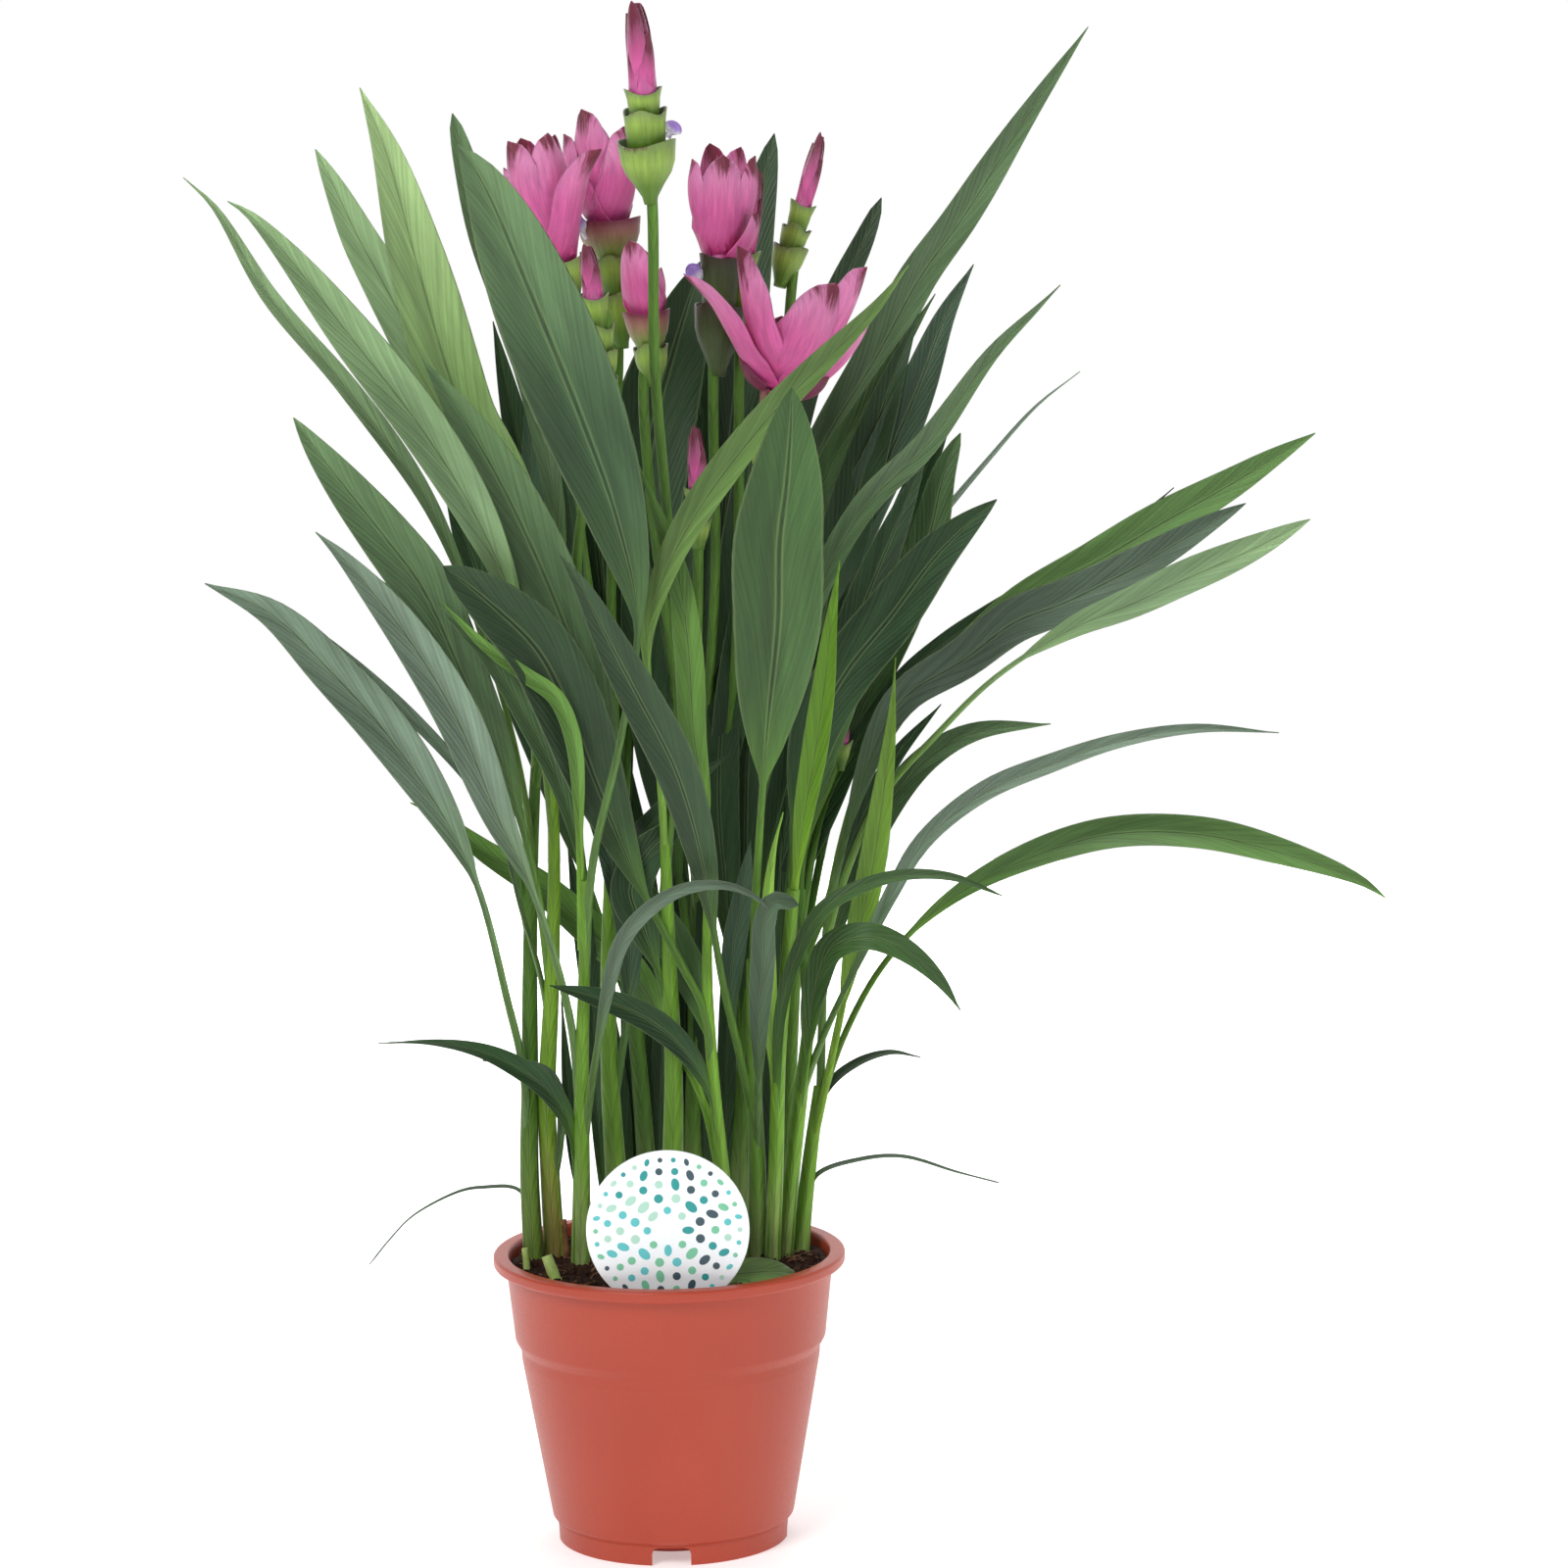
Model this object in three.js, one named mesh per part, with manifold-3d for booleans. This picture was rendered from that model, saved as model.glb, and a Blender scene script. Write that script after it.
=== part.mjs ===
// Potted curcuma: fourteen leafy shoots and pink flower heads in a 15 cm plastic grow pot.
// Millimetres, +Z up. The origin is the middle of the foot, on the surface the pot stands on.
import * as THREE from "three";
import { mergeVertices } from "three/addons/utils/BufferGeometryUtils.js";
import Module from "manifold-3d";

const wasm = await Module();
wasm.setup();

// Driving dimensions of the pot, soil and tag
const potHeight = 124.6;
const rimRadius = 75;
const lipHeight = 5;
const bodyTopRadius = 69.6;
const bandHeight = 37;
const stepRadius = 63.9;
const stepDepth = 2.5;
const footRadius = 49.3;
const footHeight = 9;
const wall = 1.6;
const seatRadius = 26;
const notchWidth = 16;
const notchHeight = 8;
const notchCount = 4;
const drainRadius = 4;
const drainCount = 6;
const gap = 0.3;
const soilTop = 120;
const soilMound = 2;
const rootDepth = 20;
const tagRadius = 34;
const tagThickness = 1;
const tagPlace = new THREE.Vector3(0.8, -56, 146);
const bladeThickness = 0.9;

// Plant points are given in the upright plane through the pot's axis, as an eye in front sees them:
// [across, height]. A piece that lies ahead of or behind that plane stays on its line of sight.
const eye = new THREE.Vector3(51.5, -2200, 651);
const clumpMiddle = 14;
const spreadFrom = 113;

function depthAt(ahead, height) {
  return clumpMiddle - ahead * (34 + 0.26 * Math.max(0, height - spreadFrom));
}

function seen(across, height, ahead) {
  const depth = depthAt(ahead, height);
  const share = 1 - depth / eye.y;
  return new THREE.Vector3(
    eye.x + (across - eye.x) * share,
    depth,
    eye.z + (height - eye.z) * share,
  );
}

// Meshes and solids
function toSolid(geometry) {
  const plain = geometry.index ? geometry.toNonIndexed() : geometry.clone();
  plain.deleteAttribute("normal");
  plain.deleteAttribute("uv");
  const merged = mergeVertices(plain, 1e-4);
  return new wasm.Manifold(new wasm.Mesh({
    numProp: 3,
    vertProperties: new Float32Array(merged.attributes.position.array),
    triVerts: new Uint32Array(merged.index.array),
  }));
}

function toGeometry(solid) {
  const mesh = solid.getMesh();
  const geometry = new THREE.BufferGeometry();
  geometry.setAttribute("position", new THREE.BufferAttribute(mesh.vertProperties, 3));
  geometry.setIndex(new THREE.BufferAttribute(mesh.triVerts, 1));
  return geometry;
}

function joined(solids) {
  return solids.reduce((sum, solid) => sum.add(solid));
}

// The largest body of a union: a scrap that touches nothing is left off.
function oneBody(solid) {
  const bodies = solid.simplify(0.15).decompose().sort((a, b) => b.volume() - a.volume());
  return bodies[0];
}

// A closed skin over rings of points. Each ring has its upper points first, then as many lower
// points coming back, and both faces of a blade are split along the same diagonals.
function loft(rings) {
  const count = rings[0].length;
  const half = count / 2;
  const positions = [];
  const face = (...points) => {
    for (const point of points) {
      positions.push(point.x, point.y, point.z);
    }
  };
  for (let k = 0; k + 1 < rings.length; k += 1) {
    for (let i = 0; i < count; i += 1) {
      const j = (i + 1) % count;
      const [a, b, c, d] = [rings[k][i], rings[k][j], rings[k + 1][j], rings[k + 1][i]];
      if (i < half) {
        face(a, b, c, a, c, d);
      } else {
        face(a, b, d, b, c, d);
      }
    }
  }
  const first = rings[0];
  const last = rings[rings.length - 1];
  for (let i = 0; i + 1 < half; i += 1) {
    const back = count - 1 - i;
    face(first[i], first[back], first[i + 1], first[i + 1], first[back], first[back - 1]);
    face(last[i], last[i + 1], last[back], last[i + 1], last[back - 1], last[back]);
  }
  const geometry = new THREE.BufferGeometry();
  geometry.setAttribute("position", new THREE.Float32BufferAttribute(positions, 3));
  const solid = toSolid(geometry);
  return solid.volume() < 0 ? toSolid(flipped(positions)) : solid;
}

function flipped(positions) {
  const swapped = [];
  for (let i = 0; i < positions.length; i += 9) {
    swapped.push(...positions.slice(i, i + 3), ...positions.slice(i + 6, i + 9));
    swapped.push(...positions.slice(i + 3, i + 6));
  }
  const geometry = new THREE.BufferGeometry();
  geometry.setAttribute("position", new THREE.Float32BufferAttribute(swapped, 3));
  return geometry;
}

// The upright face direction of a strip at a point of its curve: square to the curve, towards the
// eye, then turned about the curve.
function faceDirection(tangent, turn, front = new THREE.Vector3(0, -1, 0.12)) {
  const face = front.clone().addScaledVector(tangent, -front.dot(tangent)).normalize();
  return face.applyAxisAngle(tangent, THREE.MathUtils.degToRad(turn));
}

// Width of a blade along its share of the length: a stalk, then a long lance shape with a fine tip.
function lance(share, stalk, widest) {
  if (share <= stalk) {
    return 0;
  }
  const t = (share - stalk) / (1 - stalk);
  const power = (1 - widest) / widest;
  return (t / widest) * ((1 - t) / (1 - widest)) ** power;
}

function strip(curve, steps, widthAt, thickAt, turnAt, foldAt, front) {
  const rings = [];
  for (let k = 0; k <= steps; k += 1) {
    const share = k / steps;
    const middle = curve.getPointAt(share);
    const tangent = curve.getTangentAt(share);
    const face = faceDirection(tangent, turnAt(share), front);
    const side = new THREE.Vector3().crossVectors(tangent, face).normalize();
    const half = widthAt(share) / 2;
    const fold = THREE.MathUtils.degToRad(foldAt(share));
    const thick = thickAt(share);
    const at = (across, out) => middle.clone().addScaledVector(side, across).addScaledVector(face, out);
    const reach = half * Math.cos(fold);
    const lift = half * Math.sin(fold);
    const edge = Math.min(thick, bladeThickness);
    rings.push([
      at(-reach, lift + edge / 2),
      at(0, thick / 2),
      at(reach, lift + edge / 2),
      at(reach, lift - edge / 2),
      at(0, -thick / 2),
      at(-reach, lift - edge / 2),
    ]);
  }
  return loft(rings);
}

// One leaf, from its foot inside the shoot to its tip. The row gives: how far ahead its blade lies
// (1 front, -1 back), blade width, share of the length that is stalk, place of the widest, turn at
// the foot and at the tip, fold along the midrib, and the points it passes.
function leaf(shootAhead, [ahead, wide, stalk, widest, turn, tipTurn, fold, points]) {
  const spots = points.map(([across, height], index) => {
    const share = Math.min(1, index / (points.length - 1) / 0.5);
    const eased = share * share * (3 - 2 * share);
    return seen(across, height, shootAhead + (ahead - shootAhead) * eased);
  });
  const curve = new THREE.CatmullRomCurve3(spots, false, "centripetal");
  const steps = THREE.MathUtils.clamp(Math.round(curve.getLength() / 42), 4, 6);
  const stalkWidth = Math.min(3.6, wide);
  return strip(
    curve,
    steps,
    (share) => Math.max(1, stalkWidth * (1 - share) + (wide - stalkWidth) * lance(share, stalk, widest)),
    (share) => 2.6 - 1.6 * Math.sqrt(share),
    (share) => turn + (tipTurn - turn) * share,
    (share) => fold * Math.min(1, share / Math.max(stalk, 0.05)),
  );
}

// A round stem through given points, tapering from foot to top
function stem(spots, lowRadius, topRadius, sides = 6, steps = 6) {
  const curve = new THREE.CatmullRomCurve3(spots, false, "centripetal");
  const path = [];
  for (let k = 0; k <= steps; k += 1) {
    const share = k / steps;
    const radius = lowRadius + (topRadius - lowRadius) * share;
    path.push({ middle: curve.getPointAt(share), tangent: curve.getTangentAt(share), radius });
  }
  return turned(path, sides);
}

// A closed skin over round rings. A ring may lean: its rim is raised on the side of `toward`.
function turned(path, sides) {
  const front = new THREE.Vector3(0, -1, 0);
  const rings = path.map(({ middle, tangent, radius, lean = 0, toward = 0 }) => {
    const out = front.clone().addScaledVector(tangent, -front.dot(tangent)).normalize();
    const side = new THREE.Vector3().crossVectors(tangent, out);
    const points = [];
    for (let i = 0; i < sides; i += 1) {
      const angle = (2 * Math.PI * i) / sides;
      points.push(middle.clone()
        .addScaledVector(side, radius * Math.cos(angle))
        .addScaledVector(out, radius * Math.sin(angle))
        .addScaledVector(tangent, lean * Math.cos(angle - toward)));
    }
    return points;
  });
  const positions = [];
  const face = (...points) => points.forEach((p) => positions.push(p.x, p.y, p.z));
  const [first, last] = [rings[0], rings[rings.length - 1]];
  const [foot, top] = [path[0].middle, path[path.length - 1].middle];
  for (let i = 0; i < sides; i += 1) {
    const j = (i + 1) % sides;
    for (let k = 0; k + 1 < rings.length; k += 1) {
      const [a, b, c, d] = [rings[k][i], rings[k][j], rings[k + 1][j], rings[k + 1][i]];
      face(a, b, c, a, c, d);
    }
    face(foot, first[j], first[i]);
    face(top, last[i], last[j]);
  }
  const geometry = new THREE.BufferGeometry();
  geometry.setAttribute("position", new THREE.Float32BufferAttribute(positions, 3));
  const solid = toSolid(geometry);
  return solid.volume() < 0 ? toSolid(flipped(positions)) : solid;
}

// A ring of bracts or petals round an axis. Each bract leaves the axis at `low`, runs up by
// `length`, and opens by `spread` degrees; its tip leans out by `curl` more.
function bract(base, axis, azimuth, low, length, wide, spread, curl, radius, steps = 4) {
  const up = axis.clone().normalize();
  const across = new THREE.Vector3(0, -1, 0).addScaledVector(up, up.y).normalize();
  const out = across.applyAxisAngle(up, THREE.MathUtils.degToRad(azimuth));
  const spots = [];
  const pieces = 4;
  let place = base.clone().addScaledVector(up, low).addScaledVector(out, radius * 0.4);
  for (let k = 0; k <= pieces; k += 1) {
    spots.push(place.clone());
    const angle = THREE.MathUtils.degToRad(spread * (1 - 1.4 * (k / pieces)) + curl * (k / pieces) ** 2);
    place = place.clone()
      .addScaledVector(up, (length / pieces) * Math.cos(angle))
      .addScaledVector(out, (length / pieces) * Math.sin(angle));
  }
  const curve = new THREE.CatmullRomCurve3(spots, false, "centripetal");
  const inward = out.clone().negate();
  return strip(
    curve,
    steps,
    (share) => {
      const rounded = Math.sqrt(Math.max(0, 1 - share ** 3.2));
      return Math.max(1.2, wide * Math.min(1, 0.66 + 1.4 * share) * rounded);
    },
    () => bladeThickness,
    () => 0,
    () => 30,
    inward,
  );
}

// The leafy shoots. foot is where the shoot meets the soil; the stem runs up through its points.
// Its foot stands `ahead` of the clump's middle, and its top `topAhead` of it.
const shoots = [
  {
    name: "shoot_far_left",
    ahead: 0.3,
    topAhead: -0.35,
    stem: [[-58, 118], [-59, 160], [-58, 200], [-57, 250], [-55, 300], [-52, 345]],
    radii: [4.6, 2.2],
    leaves: [
      [-0.1, 14, 0.34, 0.5, 50, 40, 14, [[-55, 290], [-57, 315], [-65, 357], [-81, 410], [-98, 449],
        [-129, 494], [-160, 532], [-182, 570], [-194, 582]]],
      [0.15, 24, 0.42, 0.5, 15, 15, 20, [[-59, 165], [-61, 205], [-67, 234], [-78, 281], [-90, 309],
        [-115, 348], [-139, 376], [-163, 400], [-190, 413]]],
      [-0.6, 23, 0.3, 0.56, 15, 10, 14, [[-53, 330], [-54, 372], [-66, 420], [-84, 470],
        [-100, 512], [-112, 537], [-122, 556], [-131, 576], [-139, 593]]],
      [-0.35, 2.6, 0.1, 0.4, 60, 60, 5, [[-58, 135], [-63, 151], [-79, 153], [-90, 151], [-109, 141],
        [-119, 131], [-128, 120]]],
      [-0.5, 17, 0.3, 0.66, 10, 0, 16, [[-54, 320], [-41, 400], [-46, 470], [-57, 518], [-70, 557],
        [-77, 586], [-82, 607]]],
    ],
  },
  {
    name: "shoot_left",
    ahead: 0.1,
    stem: [[-49, 118], [-50, 150], [-51, 190], [-48, 240], [-46, 290], [-46, 330]],
    radii: [4.8, 2.2],
    leaves: [
      [0.25, 24, 0.3, 0.5, 10, 20, 20, [[-46, 300], [-50, 345], [-60, 400], [-76, 440], [-98, 477],
        [-127, 516], [-155, 553], [-168, 567], [-176, 572]]],
      [-0.2, 31, 0.28, 0.5, 8, 12, 18, [[-46, 325], [-47, 400], [-56, 440], [-67, 461], [-79, 480],
        [-87, 503], [-99, 549], [-110, 592], [-120, 618]]],
      [0.3, 27, 0.3, 0.55, 12, 10, 16, [[-48, 230], [-54, 285], [-67, 335], [-81, 368], [-99, 410],
        [-113, 430], [-129, 451], [-143, 470], [-151, 482]]],
      [0.05, 11, 0.3, 0.6, 65, 50, 10, [[-49, 220], [-53, 245], [-61, 275], [-68, 305], [-80, 326],
        [-92, 341], [-108, 358], [-130, 379], [-152, 399]]],
    ],
  },
  {
    name: "shoot_front_left",
    ahead: 0.45,
    stem: [[-38, 118], [-37, 150], [-36, 200], [-34, 250], [-33, 285]],
    radii: [4.4, 1.9],
    leaves: [
      [0.95, 9, 0.3, 0.5, 20, 30, 12, [[-36, 165], [-33, 190], [-29, 214], [-24, 240], [-18, 259],
        [-7, 272], [9, 281], [27, 282], [40, 276], [48, 267]]],
      [0.6, 42, 0.44, 0.56, 8, 5, 20, [[-34, 235], [-30, 290], [-17, 345], [-9, 395], [-17, 438],
        [-31, 480], [-51, 532], [-70, 578], [-80, 594]]],
      [0.5, 22, 0.38, 0.5, 12, 20, 18, [[-37, 180], [-40, 222], [-49, 261], [-57, 285], [-68, 309],
        [-86, 355], [-107, 391], [-132, 423], [-143, 434]]],
      [0.6, 12, 0.2, 0.35, 20, 50, 14, [[-38, 150], [-42, 180], [-52, 196], [-70, 208], [-83, 213],
        [-101, 216], [-122, 216]]],
      [0.35, 14, 0.34, 0.55, 30, 35, 16, [[-34, 225], [-33, 270], [-36, 300], [-44, 328], [-56, 353],
        [-72, 380], [-92, 402]]],
    ],
  },
  {
    name: "shoot_middle_left",
    ahead: 0.02,
    stem: [[-22, 118], [-22, 150], [-24, 200], [-24, 250], [-22, 300]],
    radii: [5.6, 2.2],
    leaves: [
      [0.12, 29, 0.3, 0.5, 5, 10, 16, [[-24, 240], [-19, 320], [-29, 362], [-41, 397], [-53, 427],
        [-66, 455], [-80, 480], [-97, 506]]],
      [0.3, 13, 0.25, 0.5, 10, 10, 14, [[-22, 190], [-15, 240], [-16, 270], [-20, 285], [-25, 302],
        [-31, 315], [-38, 324]]],
      [-0.1, 8, 0.3, 0.5, 20, 30, 10, [[-23, 280], [-27, 340], [-33, 390], [-35, 430], [-40, 465],
        [-46, 488]]],
      [0.2, 12, 0.2, 0.5, -20, -15, 12, [[-24, 245], [-16, 297], [-8, 305], [5, 318], [18, 330],
        [29, 338]]],
    ],
    scapes: [
      {
        ahead: -0.05,
        points: [[-22, 280], [-30, 360], [-34, 420], [-27, 460], [-19, 495], [-22, 527]],
        head: 0,
      },
    ],
  },
  {
    name: "shoot_back_left",
    ahead: -0.8,
    stem: [[-8, 118], [-9, 160], [-12, 210], [-16, 260], [-18, 300]],
    radii: [5, 2.2],
    leaves: [
      [-0.75, 18, 0.3, 0.5, 10, 10, 14, [[-17, 280], [-30, 360], [-46, 420], [-57, 470], [-62, 495],
        [-67, 521]]],
      [-0.8, 14, 0.3, 0.5, 10, 10, 14, [[-15, 250], [-40, 370], [-66, 430], [-84, 470], [-98, 502],
        [-109, 530]]],
      [-0.9, 34, 0.28, 0.56, -4, 0, 16, [[-17, 290], [-11, 360], [-5, 430], [3, 480], [10, 508],
        [20, 545]]],
      [-1.15, 24, 0.3, 0.5, 160, 160, 14, [[-13, 220], [-20, 330], [-34, 410], [-48, 455], [-60, 470]]],
    ],
    scapes: [
      { ahead: -0.45, points: [[-17, 280], [-26, 380], [-34, 450], [-36, 500], [-38, 530]], head: 1 },
      { ahead: -0.65, points: [[-16, 270], [-20, 380], [-18, 460], [-15, 510], [-17, 545]], head: 2 },
    ],
  },
  {
    name: "shoot_middle",
    ahead: 0.38,
    stem: [[3, 118], [2, 150], [3, 200], [2, 250], [1, 300]],
    radii: [5.6, 2.2],
    leaves: [
      [0.55, 17, 0.33, 0.5, -15, -30, 18, [[1, 280], [0, 320], [-3, 355], [-5, 388], [4, 417],
        [20, 445], [47, 479], [66, 498], [92, 524], [106, 542]]],
      [0.33, 20, 0.2, 0.5, 10, 10, 14, [[2, 230], [-8, 262], [-14, 280], [-8, 295], [2, 305], [12, 314]]],
    ],
    scapes: [
      { ahead: 0.3, points: [[1, 285], [8, 370], [4, 440], [0, 500], [0, 570]], head: 3 },
    ],
  },
  {
    name: "shoot_middle_right",
    ahead: 0.75,
    topAhead: 0.45,
    stem: [[26, 118], [24, 150], [20, 197], [18, 240], [19, 285]],
    radii: [3.4, 1.9],
    leaves: [
      [0.48, 14, 0.25, 0.45, -5, 0, 14, [[19, 260], [19, 290], [18, 317], [14, 345], [12, 385],
        [8, 415], [0, 440], [-8, 462]]],
      [0.62, 14, 0.25, 0.5, 25, 20, 16, [[22, 165], [19, 190], [8, 211], [-8, 225], [-28, 234],
        [-49, 240]]],
      [0.35, 34, 0.36, 0.6, 12, 15, 18, [[21, 190], [16, 229], [7, 248], [-12, 287], [-26, 322],
        [-41, 363], [-52, 384], [-73, 405], [-90, 419]]],
      [-0.55, 17, 0.25, 0.5, 15, 15, 14, [[23, 150], [15, 190], [0, 220], [-12, 243], [-32, 264],
        [-53, 283], [-74, 297], [-96, 314], [-106, 319]]],
    ],
  },
  {
    name: "shoot_front_right",
    ahead: 0.3,
    stem: [[37, 118], [38, 150], [37, 200], [37, 250]],
    radii: [4.6, 2.4],
    leaves: [
      [0.85, 41, 0.42, 0.56, -4, -6, 16, [[37, 215], [38, 260], [41, 305], [45, 350], [50, 395],
        [51, 427], [54, 450], [56, 472], [57, 492]]],
      [0.85, 21, 0.36, 0.52, 10, 12, 18, [[37, 180], [31, 210], [25, 237], [21, 262], [16, 295],
        [6, 331], [-10, 364], [-22, 388], [-32, 409], [-41, 423]]],
      [0.15, 12, 0.3, 0.5, 10, 10, 12, [[37, 190], [28, 225], [29, 253], [33, 276], [37, 301]]],
      [0.95, 13, 0.3, 0.72, -10, -10, 16, [[38, 160], [39, 195], [40, 225], [42, 252], [43, 267],
        [47, 275], [57, 273]]],
    ],
  },
  {
    name: "shoot_inner_right",
    ahead: 0.4,
    stem: [[44, 118], [46, 160], [48, 210], [52, 250], [55, 280]],
    radii: [3.6, 2.6],
    leaves: [
      [0.4, 13, 0.12, 0.45, -15, -5, 24, [[54, 270], [60, 312], [65, 339], [69, 366], [72, 392], [76, 419]]],
      [0.65, 10, 0.2, 0.6, -30, -50, 12, [[46, 150], [47, 190], [49, 226], [57, 253], [68, 271],
        [83, 280], [101, 285], [122, 284], [143, 276]]],
    ],
  },
  {
    name: "shoot_outer_right",
    ahead: 0.15,
    stem: [[49, 118], [53, 160], [58, 200], [63, 240]],
    radii: [4.2, 2.4],
    leaves: [
      [0.35, 12, 0.2, 0.5, -40, -40, 14, [[57, 190], [65, 212], [81, 246], [96, 276], [111, 300],
        [136, 320], [165, 332], [193, 341], [226, 346], [260, 344]]],
      [0.62, 15, 0.25, 0.5, -20, -20, 16, [[54, 170], [59, 205], [64, 238], [72, 255], [86, 259],
        [96, 256], [107, 249], [117, 239], [125, 227]]],
      [0.05, 28, 0.3, 0.55, -10, -12, 18, [[60, 220], [58, 290], [63, 340], [77, 370], [97, 395],
        [116, 420], [128, 432], [142, 444]]],
      [-0.1, 19, 0.58, 0.55, -25, -25, 16, [[61, 225], [75, 280], [92, 318], [116, 345], [141, 369],
        [173, 389], [198, 399], [220, 409], [241, 418], [256, 425], [273, 434]]],
    ],
  },
  {
    name: "shoot_far_right",
    ahead: 0.05,
    topAhead: -0.3,
    stem: [[56, 122], [60, 160], [65, 195]],
    radii: [4.2, 2.6],
    leaves: [
      [-0.1, 19, 0.3, 0.55, -45, -30, 14, [[63, 180], [75, 215], [92, 246], [115, 270], [143, 287],
        [186, 301], [226, 301], [263, 292], [295, 280], [305, 273]]],
      [0.1, 14, 0.3, 0.4, -15, -10, 22, [[62, 170], [72, 215], [80, 252], [88, 286], [93, 318],
        [97, 350], [99, 378]]],
      [-0.35, 8, 0.15, 0.5, -60, -60, 12, [[62, 170], [68, 193], [80, 204], [95, 209], [108, 207]]],
      [-0.3, 4, 0.1, 0.5, -60, -60, 8, [[58, 140], [63, 156], [82, 163], [100, 164], [123, 157],
        [141, 152]]],
      [-0.45, 23, 0.34, 0.56, -20, -20, 16, [[65, 190], [70, 270], [90, 340], [103, 361],
        [127, 376], [149, 392], [170, 400], [193, 411], [213, 422], [230, 432], [246, 441]]],
      [-0.7, 22, 0.54, 0.52, -20, -18, 14, [[65, 190], [72, 285], [100, 360], [145, 398],
        [183, 417], [211, 433], [240, 449], [258, 460], [275, 470]]],
      [-0.6, 16, 0.25, 0.5, -25, -25, 14, [[65, 190], [68, 240], [79, 282], [99, 320], [115, 337],
        [133, 346], [164, 349]]],
    ],
  },
  {
    name: "shoot_back_right",
    ahead: -0.55,
    stem: [[46, 122], [50, 170], [54, 230], [58, 280]],
    radii: [4.6, 2.4],
    leaves: [
      [-0.2, 15, 0.25, 0.5, -30, -30, 14, [[57, 270], [56, 340], [63, 395], [86, 440], [113, 467],
        [141, 505], [160, 524], [169, 533]]],
      [-0.95, 8, 0.3, 0.5, -60, -60, 8, [[57, 260], [70, 350], [90, 400], [112, 429], [139, 461],
        [159, 483], [177, 497]]],
      [-0.75, 21, 0.25, 0.6, -10, -10, 16, [[56, 250], [66, 310], [88, 365], [104, 402], [114, 430],
        [120, 455], [127, 472]]],
      [-0.65, 19, 0.25, 0.5, -5, -8, 16, [[57, 270], [62, 330], [78, 380], [92, 415], [104, 443],
        [113, 465]]],
    ],
    scapes: [
      { ahead: -0.55, points: [[56, 265], [60, 300], [70, 325], [76, 340]], head: 9 },
    ],
  },
  {
    name: "shoot_back_middle",
    ahead: -0.95,
    stem: [[30, 122], [31, 170], [34, 230], [38, 290]],
    radii: [4.8, 2.4],
    leaves: [
      [-1.1, 22, 0.3, 0.5, -20, -30, 14, [[37, 280], [42, 350], [52, 410], [66, 460], [93, 505],
        [111, 537], [128, 560], [154, 600], [181, 639]]],
      [-1.2, 10, 0.3, 0.5, -15, -15, 14, [[37, 270], [44, 370], [52, 440], [62, 490], [76, 530],
        [89, 557], [95, 570]]],
      [-0.85, 24, 0.28, 0.5, -10, -15, 16, [[37, 280], [48, 340], [64, 385], [86, 440], [98, 465],
        [110, 492], [121, 520], [133, 542]]],
      [-0.95, 20, 0.28, 0.5, 170, 170, 14, [[35, 240], [46, 330], [60, 390], [70, 430]]],
    ],
    scapes: [
      { ahead: -0.75, points: [[37, 280], [52, 380], [56, 440], [55, 500], [57, 530]], head: 7 },
      { ahead: -0.4, points: [[37, 275], [56, 360], [62, 420], [64, 455], [61, 478]], head: 8 },
    ],
  },
  {
    name: "shoot_back",
    ahead: -1,
    stem: [[12, 122], [11, 170], [13, 230], [14, 290]],
    radii: [4.8, 2.4],
    leaves: [
      [
        -1.15, 16, 0.28, 0.5, -10, -10, 14,
        [[14, 280], [22, 390], [30, 460], [38, 520], [45, 560], [51, 597]],
      ],
      [-0.95, 20, 0.25, 0.5, -5, -5, 14, [[14, 280], [8, 350], [6, 410], [11, 450], [20, 484]]],
      [-1.25, 22, 0.28, 0.5, 175, 175, 14, [[13, 240], [5, 330], [-6, 390], [-16, 430]]],
      [-0.9, 20, 0.28, 0.5, 0, 0, 14, [[14, 280], [26, 360], [34, 420], [40, 465], [44, 495]]],
    ],
    scapes: [
      { ahead: -0.5, points: [[14, 280], [20, 360], [24, 420], [24, 480], [25, 520], [27, 540]], head: 5 },
      { ahead: -0.55, points: [[14, 275], [30, 360], [34, 440], [35, 500], [36, 525]], head: 6 },
      { ahead: -0.35, points: [[14, 270], [14, 330], [16, 390], [17, 430], [17, 448]], head: 10 },
      { ahead: -0.5, points: [[14, 280], [6, 370], [-2, 440], [-5, 490], [-3, 515]], head: 4 },
    ],
  },
];

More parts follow.
